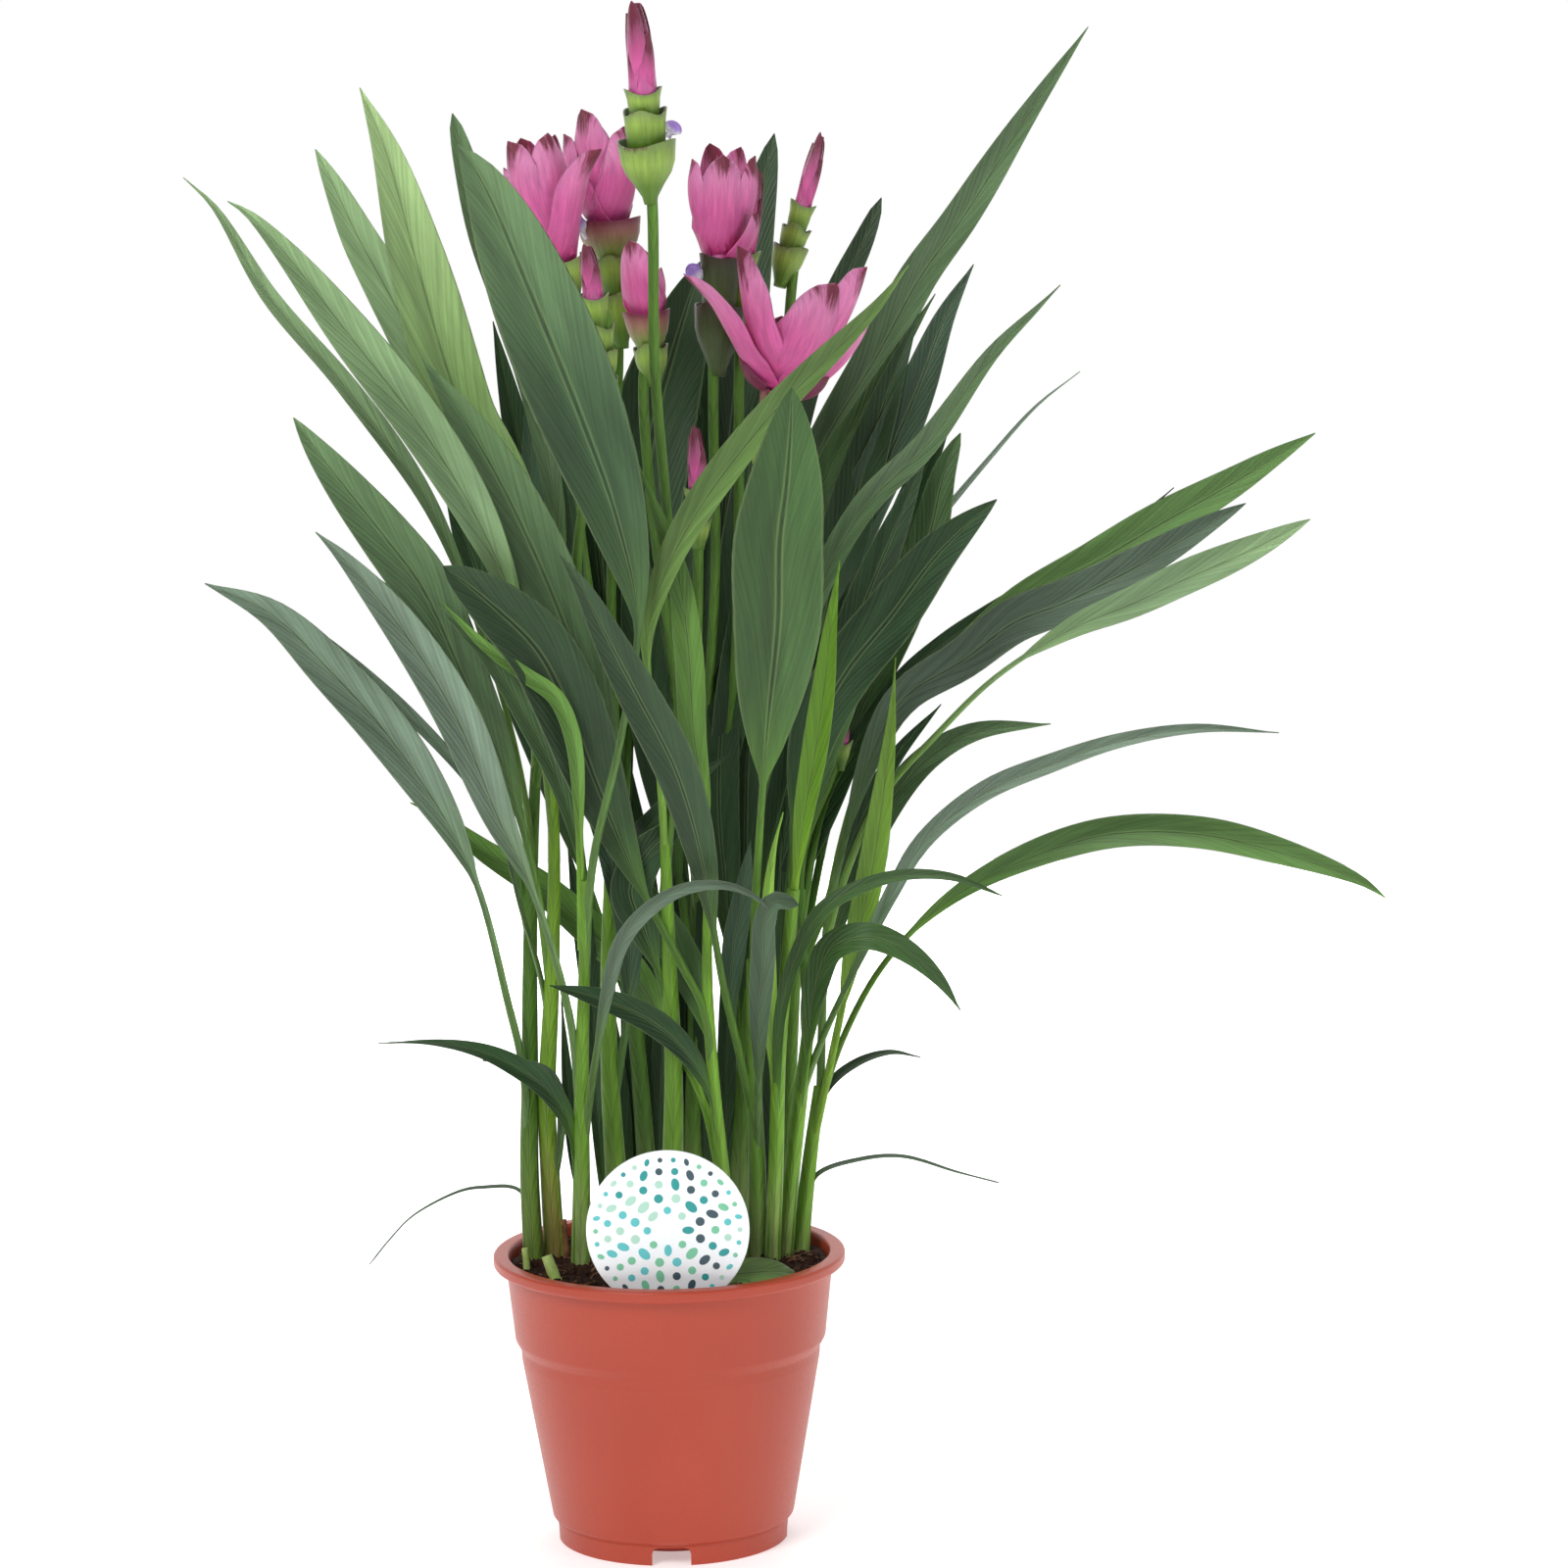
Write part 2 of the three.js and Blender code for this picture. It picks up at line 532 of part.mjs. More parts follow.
// Flower heads. foot and top are the ends of the pink part's axis; petals are rows of
// [azimuth, low, length, width, spread, curl]. greens are the lips of the green bracts below it,
// from the highest down, as [distance below the foot, radius]; the last one is where they end.
const heads = [
  {
    name: "flower_left_bud",
    foot: [-25, 529],
    top: [-27, 552],
    core: [4.6, 3],
    petals: [],
    greens: [[0.5, 5.6], [11, 6.8], [22, 7.2], [33, 6.4], [46, 3]],
  },
  {
    name: "flower_left",
    foot: [-39, 544],
    top: [-50, 600],
    core: [6, 3],
    petals: [
      [-48, 3, 56, 27, 36, -8], [20, 5, 53, 25, 24, 0], [64, -3, 52, 22, 48, 22],
      [150, 4, 53, 26, 22, 0], [-110, 2, 51, 24, 32, -6],
    ],
    greens: [[1, 9.5], [14, 8.5], [27, 7], [46, 3]],
  },
  {
    name: "flower_left_back",
    foot: [-18, 560],
    top: [-22, 606],
    core: [6, 3],
    petals: [
      [-30, 3, 48, 28, 26, -6], [50, 2, 42, 30, 40, -24], [165, 3, 45, 28, 26, -4],
      [-85, 0, 44, 28, 36, -8],
    ],
    greens: [[0.5, 13], [15, 8.2], [30, 7.5], [54, 3]],
  },
  {
    name: "flower_tall_bud",
    foot: [-3, 614],
    top: [-5, 652],
    core: [6, 2.2],
    petals: [],
    greens: [[0.8, 6.8], [7, 8.4], [19.5, 11.2], [45, 2.6]],
  },
  {
    name: "flower_middle_small",
    foot: [-3, 522],
    top: [-6, 556],
    core: [5, 2.5],
    petals: [
      [-25, 0, 33, 22, 26, -8], [80, 0, 21, 16, 36, -10], [190, 0, 31, 22, 26, -6],
    ],
    greens: [[0.5, 9.3], [13, 7], [30, 3]],
  },
  {
    name: "flower_middle",
    foot: [28, 545],
    top: [30, 592],
    core: [6, 3],
    petals: [
      [0, 1, 45, 34, 34, -14], [-80, 3, 42, 26, 36, -10], [82, 3, 44, 26, 34, -8],
      [180, 3, 48, 28, 20, 0], [62, -6, 26, 14, 66, 10],
    ],
    greens: [[0.5, 8.2], [19, 10.4], [50, 3.4]],
  },
  {
    name: "flower_middle_bud",
    foot: [39, 547],
    top: [45, 582],
    core: [3.4, 1.8],
    petals: [],
    greens: [[0.5, 4.8], [13, 5.8], [32, 2.6]],
  },
  {
    name: "flower_right_bud",
    foot: [62, 566],
    top: [71, 596],
    core: [4, 2],
    petals: [],
    greens: [[0.5, 4.9], [9, 6], [18, 7], [36, 2.8]],
  },
  {
    name: "flower_open",
    foot: [52, 490],
    top: [58, 518],
    core: [7, 3],
    petals: [
      [24, 2, 51, 40, 34, 6], [58, 3, 64, 24, 40, 30], [-50, 3, 64, 25, 48, 50],
      [-65, -3, 64, 21, 58, 110], [-25, 0, 31, 34, 36, 10], [80, -3, 52, 15, 60, 30],
      [-70, 2, 26, 15, 100, 60], [60, 1.5, 22, 13, 105, 55],
    ],
    greens: [[2, 8], [14, 8], [26, 6.6], [38, 3]],
  },
  {
    name: "flower_low_bud",
    foot: [76, 341],
    top: [77, 353],
    core: [3.2, 1.4],
    petals: [],
    greens: [[0.5, 3.8], [11, 2]],
  },
  {
    name: "flower_inner_bud",
    foot: [17, 448],
    top: [17, 476],
    core: [4.2, 2],
    petals: [],
    greens: [[0.5, 5], [11, 5], [24, 2.6]],
  },
];

// True flowers by the head they belong to, height along its axis, distance from it, and side
const trueFlowers = [
  { name: "true_flower_left", head: "flower_left_back", low: -5, reach: 11.8, azimuth: -55, length: 9 },
  { name: "true_flower_middle", head: "flower_middle", low: -12, reach: 7.2, azimuth: -70, length: 10 },
  { name: "true_flower_tall", head: "flower_tall_bud", low: -15, reach: 8.1, azimuth: 85, length: 6 },
];

function headAxis(head, ahead) {
  const foot = seen(...head.foot, ahead);
  const top = seen(...head.top, ahead);
  return { foot, up: top.clone().sub(foot), length: top.distanceTo(foot) };
}

// Green bracts under a head: cups that stand in each other, each with its lip raised on one side
function greenCups(axis, greens, core) {
  const up = axis.up.clone().normalize();
  const at = (below) => axis.foot.clone().addScaledVector(up, -below);
  const [bottom, bottomRadius] = greens[greens.length - 1];
  const path = [{ middle: at(bottom), tangent: up, radius: bottomRadius }];
  for (let k = greens.length - 2; k > 0; k -= 1) {
    const [below, radius] = greens[k];
    path.push({ middle: at(below), tangent: up, radius, lean: 2, toward: 2.4 * k });
    path.push({ middle: at(below - 3), tangent: up, radius: greens[k - 1][1] * 0.72 });
  }
  path.push({ middle: at(greens[0][0]), tangent: up, radius: greens[0][1] });
  path.push({ middle: axis.foot, tangent: up, radius: core * 0.75 });
  return turned(path, 6);
}

const group = new THREE.Group();
const pending = [];

function material(color, roughness) {
  return new THREE.MeshStandardMaterial({ color, roughness, metalness: 0, side: THREE.DoubleSide });
}

const terracotta = material(0xb5533c, 0.45);
const peat = material(0x3a241a, 0.95);
const leafGreen = material(0x4a7038, 0.5);
const pink = material(0xd268a4, 0.5);
const violet = material(0x8f78bd, 0.5);
const white = material(0xf3f7fa, 0.4);
const stubGreen = material(0xa9c46c, 0.6);
const dry = material(0x8a5230, 0.8);

function add(name, solid, finish) {
  const mesh = new THREE.Mesh(toGeometry(solid), finish);
  mesh.name = name;
  group.add(mesh);
}

// Shoots: stem, leaves and green flower stalks are one body; each head's pink part is another.
const holes = [];
for (const shoot of shoots) {
  const [lowest, highest] = [shoot.stem[0][1], shoot.stem[shoot.stem.length - 1][1]];
  const aheadAt = (height) => {
    const share = THREE.MathUtils.clamp((height - lowest) / (highest - lowest), 0, 1);
    return shoot.ahead + ((shoot.topAhead ?? shoot.ahead) - shoot.ahead) * share;
  };
  const spots = shoot.stem.map(([across, height]) => seen(across, height, aheadAt(height)));
  const foot = spots[0].clone();
  foot.z = soilTop - rootDepth;
  const soilSpot = spots[0].clone();
  soilSpot.z = soilTop;
  const route = [foot, soilSpot, ...spots.slice(1)];
  const solids = [stem(route, ...shoot.radii)];
  holes.push({ route, radii: shoot.radii });
  for (const row of shoot.leaves) {
    solids.push(leaf(aheadAt(row[row.length - 1][0][1]), row));
  }
  for (const scape of shoot.scapes ?? []) {
    const head = heads[scape.head];
    const last = scape.points.length - 1;
    const route = scape.points.map(([across, height], index) => {
      const share = Math.min(1, index / last / 0.5);
      const start = aheadAt(scape.points[0][1]);
      return seen(across, height, start + (scape.ahead - start) * share);
    });
    const axis = headAxis(head, scape.ahead);
    const up = axis.up.clone().normalize();
    route.push(axis.foot.clone().addScaledVector(up, -2));
    solids.push(stem(route, 2, 2.3, 5, 6));
    solids.push(greenCups(axis, head.greens, head.core[0]));
    pending.push({ head, axis, up });
  }
  add(shoot.name, oneBody(joined(solids)), leafGreen);
}

for (const { head, axis, up } of pending) {
  const [low, high] = head.core;
  const base = axis.foot.clone().addScaledVector(up, gap);
  const tip = base.clone().addScaledVector(up, axis.length * (head.petals.length ? 0.3 : 1));
  const solids = [stem([base, tip], low, head.petals.length ? high : 1, 6, 1)];
  for (const [azimuth, lift, length, wide, spread, curl] of head.petals) {
    const rings = length > 35 ? 3 : 2;
    solids.push(bract(base, up, azimuth, Math.max(1, lift + 1), length, wide, spread, curl, low, rings));
  }
  if (!head.petals.length) {
    for (let k = 0; k < 2; k += 1) {
      const length = axis.length * (0.95 - 0.16 * k);
      solids.push(bract(base, up, 20 + 170 * k, 1, length, low * 2, 8, -4, low * 2, 2));
    }
  }
  add(head.name, oneBody(joined(solids)), pink);
}

// True flowers: small violet lips that come out of the lip of a green bract
for (const { name, head, low, reach, azimuth, length } of trueFlowers) {
  const { axis, up } = pending.find((entry) => entry.head.name === head);
  const across = new THREE.Vector3(0, -1, 0).addScaledVector(up, up.y).normalize();
  const out = across.applyAxisAngle(up, THREE.MathUtils.degToRad(azimuth));
  const place = axis.foot.clone().addScaledVector(up, low).addScaledVector(out, reach);
  const way = up.clone().addScaledVector(out, 0.8).normalize();
  const tip = place.clone().addScaledVector(way, length * 0.6);
  const solids = [stem([place, tip], 1.6, 1.2, 5, 1)];
  for (const turn of [0, 180]) {
    solids.push(bract(place, way, turn, length * 0.3, length * 0.8, 6.5, 30, 30, 1.2, 2));
  }
  add(name, oneBody(joined(solids)), violet);
}

// The pot is turned from one wall profile; four notches open its foot ring.
function potSolid() {
  const bandLow = potHeight - bandHeight;
  const stepLow = bandLow - 4;
  const outer = [
    [footRadius, 0], [footRadius, footHeight], [footRadius + 2.5, footHeight + 1],
    [stepRadius, stepLow], [stepRadius + stepDepth, bandLow],
    [bodyTopRadius, potHeight - lipHeight - 0.5], [rimRadius - 0.8, potHeight - lipHeight],
    [rimRadius, potHeight - lipHeight + 1], [rimRadius, potHeight - 1], [rimRadius - 1, potHeight],
  ];
  const inner = [
    [bodyTopRadius - wall, potHeight],
    [stepRadius + stepDepth - wall, bandLow], [stepRadius - wall, stepLow],
    [footRadius + 2.5 - wall, footHeight + 1 + wall], [seatRadius + 3, footHeight + wall],
    [seatRadius, wall], [0, wall],
  ];
  const under = [
    [0, 0], [seatRadius + 1.5, 0], [seatRadius + 4.5, footHeight], [footRadius - wall, footHeight],
    [footRadius - wall, 0],
  ];
  const profile = [...under, ...outer, ...inner].map(([r, z]) => new THREE.Vector2(r, z));
  const shell = new THREE.LatheGeometry(profile, 32);
  shell.rotateX(Math.PI / 2);
  let solid = toSolid(shell);
  if (solid.volume() < 0) {
    solid = toSolid(flipped(Array.from(shell.toNonIndexed().attributes.position.array)));
  }
  for (let k = 0; k < notchCount; k += 1) {
    const notch = new THREE.BoxGeometry(notchWidth, 12, 2 * notchHeight);
    notch.translate(0, -footRadius + 1, 0);
    notch.rotateZ((k * 2 * Math.PI) / notchCount);
    solid = solid.subtract(toSolid(notch));
  }
  for (let k = 0; k < drainCount; k += 1) {
    const drain = new THREE.CylinderGeometry(drainRadius, drainRadius, 20, 6);
    drain.rotateX(Math.PI / 2);
    drain.translate((seatRadius + footRadius) / 2 + 1, 0, footHeight);
    drain.rotateZ(((k + 0.5) * 2 * Math.PI) / drainCount);
    solid = solid.subtract(toSolid(drain));
  }
  return { solid, inner };
}

const pot = potSolid();
add("pot", pot.solid, terracotta);

// The soil fills the pot with a small clearance, and its mounded top has a plain hole per stem.
function soilSolid() {
  const side = pot.inner.slice(1).map(([r, z]) => [Math.max(0, r - gap), z + gap]);
  const top = [];
  for (let k = 0; k <= 2; k += 1) {
    const share = k / 2;
    const radius = (bodyTopRadius - wall - 2) * share;
    top.push([radius, soilTop + soilMound * (1 - share * share) - 1]);
  }
  const profile = [...side.reverse(), ...top.reverse()].map(([r, z]) => new THREE.Vector2(r, z));
  const shell = new THREE.LatheGeometry(profile, 24);
  shell.rotateX(Math.PI / 2);
  let solid = toSolid(shell);
  if (solid.volume() < 0) {
    solid = toSolid(flipped(Array.from(shell.toNonIndexed().attributes.position.array)));
  }
  for (const { route, radii: [low, high] } of holes) {
    solid = solid.subtract(stem(route, low + gap + 0.15, high + gap + 0.15).translate(0, 0, -gap));
  }
  return solid;
}

let soil = soilSolid();

// The tag: a round card on a tapering stake that is pushed into the soil
const card = new THREE.CylinderGeometry(tagRadius, tagRadius, tagThickness, 40);
const stakeShape = new THREE.Shape();
stakeShape.moveTo(-5, 0);
stakeShape.lineTo(5, 0);
stakeShape.lineTo(4, -44);
stakeShape.lineTo(0, -52);
stakeShape.lineTo(-4, -44);
stakeShape.closePath();
const stake = new THREE.ExtrudeGeometry(stakeShape, { depth: tagThickness, bevelEnabled: false });
stake.rotateX(Math.PI / 2);
stake.translate(tagPlace.x, tagPlace.y + tagThickness / 2, tagPlace.z - tagRadius + 14);
card.translate(tagPlace.x, tagPlace.y, tagPlace.z);
const stakeHole = new THREE.BoxGeometry(11, tagThickness + 0.8, 80);
stakeHole.translate(tagPlace.x, tagPlace.y, tagPlace.z - tagRadius);
const cardHole = new THREE.CylinderGeometry(tagRadius + 0.4, tagRadius + 0.4, tagThickness + 0.8, 40);
cardHole.translate(tagPlace.x, tagPlace.y, tagPlace.z);
add("tag", toSolid(card).add(toSolid(stake)), white);
soil = soil.subtract(toSolid(stakeHole)).subtract(toSolid(cardHole));

// Cut stubs, the dry sheath and the loose leaf piece on the soil
const stubs = [
  ["stub_front", [-45, -34], [-51, -30, 130], 2.9, stubGreen],
  ["stub_side", [-60.5, -13], [-61, -12, 129], 1.7, stubGreen],
  ["dry_sheath", [-44, 6], [-45, 2, 138], 1.6, dry],
];
for (const [name, [x, y], [topX, topY, topZ], radius, finish] of stubs) {
  const foot = new THREE.Vector3(x, y, soilTop - 9);
  const top = new THREE.Vector3(topX, topY, topZ);
  soil = soil.subtract(stem([foot.clone().setZ(foot.z - gap), top], radius + 0.5, radius + 0.5, 8, 1));
  add(name, stem([foot, top], radius, radius * 0.8, 7, 2), finish);
}

const loose = new THREE.CatmullRomCurve3([
  new THREE.Vector3(16, -49.5, 123.5),
  new THREE.Vector3(27, -48, 126.2),
  new THREE.Vector3(39, -44.5, 126.7),
  new THREE.Vector3(50, -37.5, 124.9),
  new THREE.Vector3(56.5, -29.5, 120.9),
]);
const looseWidth = (share) => 2 + 15 * Math.sin(Math.PI * (0.12 + 0.86 * share)) ** 0.8;
const standing = new THREE.Vector3(0, -0.8, 0.6);
add("loose_leaf", strip(loose, 6, looseWidth, () => 1, () => 0, () => 8, standing), leafGreen);
add("soil", oneBody(soil), peat);

export default group;
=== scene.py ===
"""Potted curcuma in a terracotta-coloured grow pot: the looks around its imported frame.

Metres, +Z up. The origin is the middle of the pot's foot, on the surface it stands on.
"""
import functools
import math

import bmesh
import bpy
import numpy as np
from mathutils import Matrix, Vector, noise


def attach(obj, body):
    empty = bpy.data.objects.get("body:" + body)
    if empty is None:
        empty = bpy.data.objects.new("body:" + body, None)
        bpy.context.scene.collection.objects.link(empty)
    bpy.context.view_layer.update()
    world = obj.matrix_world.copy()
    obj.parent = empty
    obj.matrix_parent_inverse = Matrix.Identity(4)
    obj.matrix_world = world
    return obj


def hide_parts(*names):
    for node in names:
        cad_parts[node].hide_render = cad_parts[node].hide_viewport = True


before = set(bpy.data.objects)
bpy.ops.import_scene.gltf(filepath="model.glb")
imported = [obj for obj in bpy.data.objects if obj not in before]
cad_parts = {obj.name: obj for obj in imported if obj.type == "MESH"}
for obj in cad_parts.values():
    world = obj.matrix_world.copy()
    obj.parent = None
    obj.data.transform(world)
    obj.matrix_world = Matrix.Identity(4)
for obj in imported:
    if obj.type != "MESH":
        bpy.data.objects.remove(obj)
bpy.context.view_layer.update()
scene = bpy.context.scene

# The camera stands a little above the tallest bud and well back, and looks slightly down,
# so the leaves hardly converge. The photograph is square.
PICTURE_PIXELS, FOCAL_PIXELS = 1600, 5388
FILM_WIDTH = 36
EYE = Vector((0.0515, -2.2, 0.651))
LOOK_DOWN = math.radians(8.43)
ROLL = math.radians(-0.74)
camera_data = bpy.data.cameras.new("Studio_camera")
camera_data.sensor_width = FILM_WIDTH
camera_data.lens = FILM_WIDTH * FOCAL_PIXELS / PICTURE_PIXELS
camera_data.clip_end = 20
camera = bpy.data.objects.new("Studio_camera", camera_data)
scene.collection.objects.link(camera)
camera.matrix_world = (
    Matrix.Translation(EYE)
    @ Matrix.Rotation(math.radians(90) - LOOK_DOWN, 4, "X")
    @ Matrix.Rotation(ROLL, 4, "Z")
)
scene.camera = camera


# The pot is one thin moulded plastic shell, terracotta-coloured with a soft sheen: a rolled lip,
# a plain upper band, a rounded step, a tapering body, and a foot ring with notches and drain holes.
def new_object(name, mesh, material=None):
    piece = bpy.data.objects.new(name, mesh)
    scene.collection.objects.link(piece)
    if material is not None:
        mesh.materials.clear()
        mesh.materials.append(material)
    return piece


def linear(red, green, blue):
    """A colour as seen on screen, 0 to 255, as the linear colour a material takes."""
    shares = (red / 255, green / 255, blue / 255)
    return tuple(c / 12.92 if c <= 10 / 255 else ((c + 0.055) / 1.055) ** 2.4 for c in shares)


class Value:
    """What a node gives out; +, - and * on it add a math node to the same tree."""

    def __init__(self, nodes, socket):
        self.nodes, self.socket = nodes, socket

    def __add__(self, other):
        return self.nodes.math("ADD", self, other)

    def __sub__(self, other):
        return self.nodes.math("SUBTRACT", self, other)

    def __mul__(self, other):
        return self.nodes.math("MULTIPLY", self, other)


class Nodes:
    """The nodes of one tree, each added with its settings and with what goes into it."""

    def add(self, kind, values=None, output=0, **settings):
        """Adds a node, and gives back what comes out of it at that output."""
        node = self.tree.nodes.new(kind)
        for key, value in settings.items():
            setattr(node, key, value)
        for key, value in (values or {}).items():
            if isinstance(value, Value):
                self.tree.links.new(value.socket, node.inputs[key])
            else:
                node.inputs[key].default_value = value
        return Value(self, node.outputs[output])

    def math(self, kind, first, second=0.0):
        return self.add("ShaderNodeMath", {0: first, 1: second}, operation=kind)


class Finish(Nodes):
    """One procedural material: a Principled shader and the few nodes that feed it."""

    def __init__(self, name):
        self.material = bpy.data.materials.new(name)
        self.material.use_nodes = True
        self.tree = self.material.node_tree
        self.shader = self.tree.nodes["Principled BSDF"]

    def set(self, **values):
        for key, value in values.items():
            self.shader.inputs[key.replace("_", " ")].default_value = value

    def feed(self, label, value):
        self.tree.links.new(value.socket, self.shader.inputs[label])

    def place(self):
        return self.add("ShaderNodeTexCoord", output="Object")

    def stored(self, name, output="Fac"):
        """What the mesh holds under that name at each of its points."""
        return self.add("ShaderNodeAttribute", output=output, attribute_name=name)

    def noise(self, scale, detail=3, rough=0.55, spot=None):
        return self.add("ShaderNodeTexNoise", {
            "Scale": scale, "Detail": detail, "Roughness": rough, "Vector": spot or self.place()}, "Fac")

    def streaks(self, over, along):
        """Noise drawn out along a blade or petal: over runs across it, along runs up it."""
        spot = self.add("ShaderNodeCombineXYZ", {0: over, 1: along, 2: self.stored("draw")})
        return self.noise(1.0, 3, 0.6, spot)

    def mapped(self, value, low, high, to_low, to_high):
        return self.add("ShaderNodeMapRange", {0: value, 1: low, 2: high, 3: to_low, 4: to_high})

    def mixed(self, share, first, second, kind="MIX"):
        first, second = ((*c, 1) if isinstance(c, tuple) else c for c in (first, second))
        colours = {0: share, 6: first, 7: second}
        return self.add("ShaderNodeMix", colours, 2, data_type="RGBA", blend_type=kind)

    def shaded(self, tint, shade):
        """The tint made darker or lighter by the shade."""
        grey = self.add("ShaderNodeCombineXYZ", {0: shade, 1: shade, 2: shade})
        return self.mixed(1.0, tint, grey, "MULTIPLY")

    def bump(self, height, strength, distance):
        self.feed("Normal", self.add("ShaderNodeBump", {
            "Height": height, "Strength": strength, "Distance": distance}, "Normal"))


def mottled(name, scale, detail, first, second, rough, bump=None, **values):
    """A material that runs from the first colour to the second in soft spots."""
    finish = Finish(name)
    shade = finish.noise(scale, detail)
    share = finish.mapped(shade, 0.3, 0.7, 0, 1)
    finish.feed("Base Color", finish.mixed(share, linear(*first), linear(*second)))
    finish.feed("Roughness", finish.mapped(shade, 0.3, 0.7, *rough))
    if bump:
        finish.bump(shade, *bump)
    finish.set(**values)
    return finish.material


def made_mesh(shape, name):
    """The shape as a mesh of that name."""
    mesh = bpy.data.meshes.new(name)
    shape.to_mesh(mesh)
    shape.free()
    return mesh


POT_HEIGHT = 0.1246
RIM_RADIUS = 0.075
BAND_RADIUS = 0.0696
FOOT_RADIUS = 0.0493
SEAT_RADIUS = 0.026
POT_WALL = 0.0016
POT_SEGMENTS = 160
NOTCH_REACH = (-FOOT_RADIUS - 0.003, -FOOT_RADIUS + 0.006)
NOTCH_OUTLINE = (
    (-0.0082, -0.002), (0.0082, -0.002), (0.0082, 0.0052), (0.0074, 0.0072), (0.0054, 0.008),
    (-0.0054, 0.008), (-0.0074, 0.0072), (-0.0082, 0.0052),
)
DRAIN_HOLES = 6
DRAIN_RADIUS = 0.004
DRAIN_RING = 0.0386


def pot_outline():
    """Radius and height up the outside, over the lip, down the inside and back under the foot."""
    def rounded(corners, reach=0.0009, steps=5):
        points = []
        count = len(corners)
        for index, corner in enumerate(corners):
            here = np.array(corner)
            before, after = np.array(corners[index - 1]), np.array(corners[(index + 1) % count])
            back, on = before - here, after - here
            r = min(reach, np.linalg.norm(back) * 0.4, np.linalg.norm(on) * 0.4)
            start = here + back / np.linalg.norm(back) * r
            end = here + on / np.linalg.norm(on) * r
            for step in range(steps):
                t = step / (steps - 1)
                points.append((1 - t) ** 2 * start + 2 * t * (1 - t) * here + t * t * end)
        return points

    wall = POT_WALL
    return rounded([
        (SEAT_RADIUS + 0.0015, 0), (SEAT_RADIUS + 0.0045, 0.009), (FOOT_RADIUS - wall, 0.009),
        (FOOT_RADIUS - wall, 0), (FOOT_RADIUS, 0), (FOOT_RADIUS + 0.0004, 0.0082),
        (FOOT_RADIUS + 0.0002, 0.0088), (FOOT_RADIUS + 0.0024, 0.0104), (0.0637, 0.0795), (0.0639, 0.0838),
        (0.0663, 0.0880), (0.0667, 0.0920), (BAND_RADIUS, 0.1188), (0.0742, 0.1196), (RIM_RADIUS, 0.1206),
        (RIM_RADIUS, 0.1238), (0.0742, POT_HEIGHT), (BAND_RADIUS - wall + 0.0008, POT_HEIGHT),
        (BAND_RADIUS - wall, 0.1225), (0.0651, 0.0920), (0.0648, 0.0882), (0.0623, 0.0838), (0.0621, 0.0795),
        (FOOT_RADIUS + 0.0009, 0.0118), (SEAT_RADIUS + 0.0040, 0.0106), (SEAT_RADIUS + 0.0006, wall),
    ])


def turned_shell(outline, segments, poles=()):
    """A skin of revolution through the outline, which is closed, or ends in points at those heights."""
    shape = bmesh.new()
    rings = []
    for radius, height in outline:
        angles = (2 * math.pi * k / segments for k in range(segments))
        rings.append([shape.verts.new((radius * math.cos(a), radius * math.sin(a), height)) for a in angles])
    for low, high in zip(rings, rings[1:] if poles else rings[1:] + rings[:1]):
        for k in range(segments):
            shape.faces.new((low[k], low[(k + 1) % segments], high[(k + 1) % segments], high[k]))
    for ring, height in zip((rings[0], rings[-1]), poles):
        middle = shape.verts.new((0, 0, height))
        for k in range(segments):
            shape.faces.new((middle, ring[k], ring[(k + 1) % segments]))
    bmesh.ops.recalc_face_normals(shape, faces=shape.faces)
    return made_mesh(shape, "turned")


def smooth(mesh, degrees):
    mesh.shade_smooth()
    mesh.set_sharp_from_angle(angle=math.radians(degrees))


def plain_mesh(piece, name):
    """The piece as its modifiers leave it, as a plain mesh with no modifier."""
    evaluated = piece.evaluated_get(bpy.context.evaluated_depsgraph_get())
    mesh = bpy.data.meshes.new_from_object(evaluated)
    mesh.name = name
    bpy.data.objects.remove(piece)
    return mesh


def pot_plastic():
    finish = Finish("Terracotta_plastic")
    broad, fine = finish.noise(9, 2), finish.noise(900, 2)
    warm = finish.mixed(finish.mapped(broad, 0.35, 0.65, 0, 1), linear(170, 58, 33), linear(180, 65, 38))
    finish.feed("Base Color", finish.mixed(finish.mapped(fine, 0.4, 0.7, 0, 0.12), warm, linear(146, 50, 32)))
    finish.feed("Roughness", finish.mapped(fine, 0.3, 0.7, 0.36, 0.46))
    finish.bump(fine, 0.12, 0.0002)
    finish.set(Specular_IOR_Level=0.5, Coat_Weight=0.08, Coat_Roughness=0.3, Subsurface_Weight=0.04)
    finish.set(Subsurface_Radius=(0.004, 0.0012, 0.0008), Subsurface_Scale=1.0)
    return finish.material


pot_blank = new_object("pot_blank", turned_shell(pot_outline(), POT_SEGMENTS))
# The seat in the middle of the base closes the shell
seat_shape = bmesh.new()
bmesh.ops.create_cone(
    seat_shape, segments=POT_SEGMENTS, cap_ends=True, radius1=SEAT_RADIUS + 0.0017,
    radius2=SEAT_RADIUS + 0.0008, depth=POT_WALL, matrix=Matrix.Translation((0, 0, POT_WALL / 2)))
seat = new_object("seat_blank", made_mesh(seat_shape, "seat_blank"))

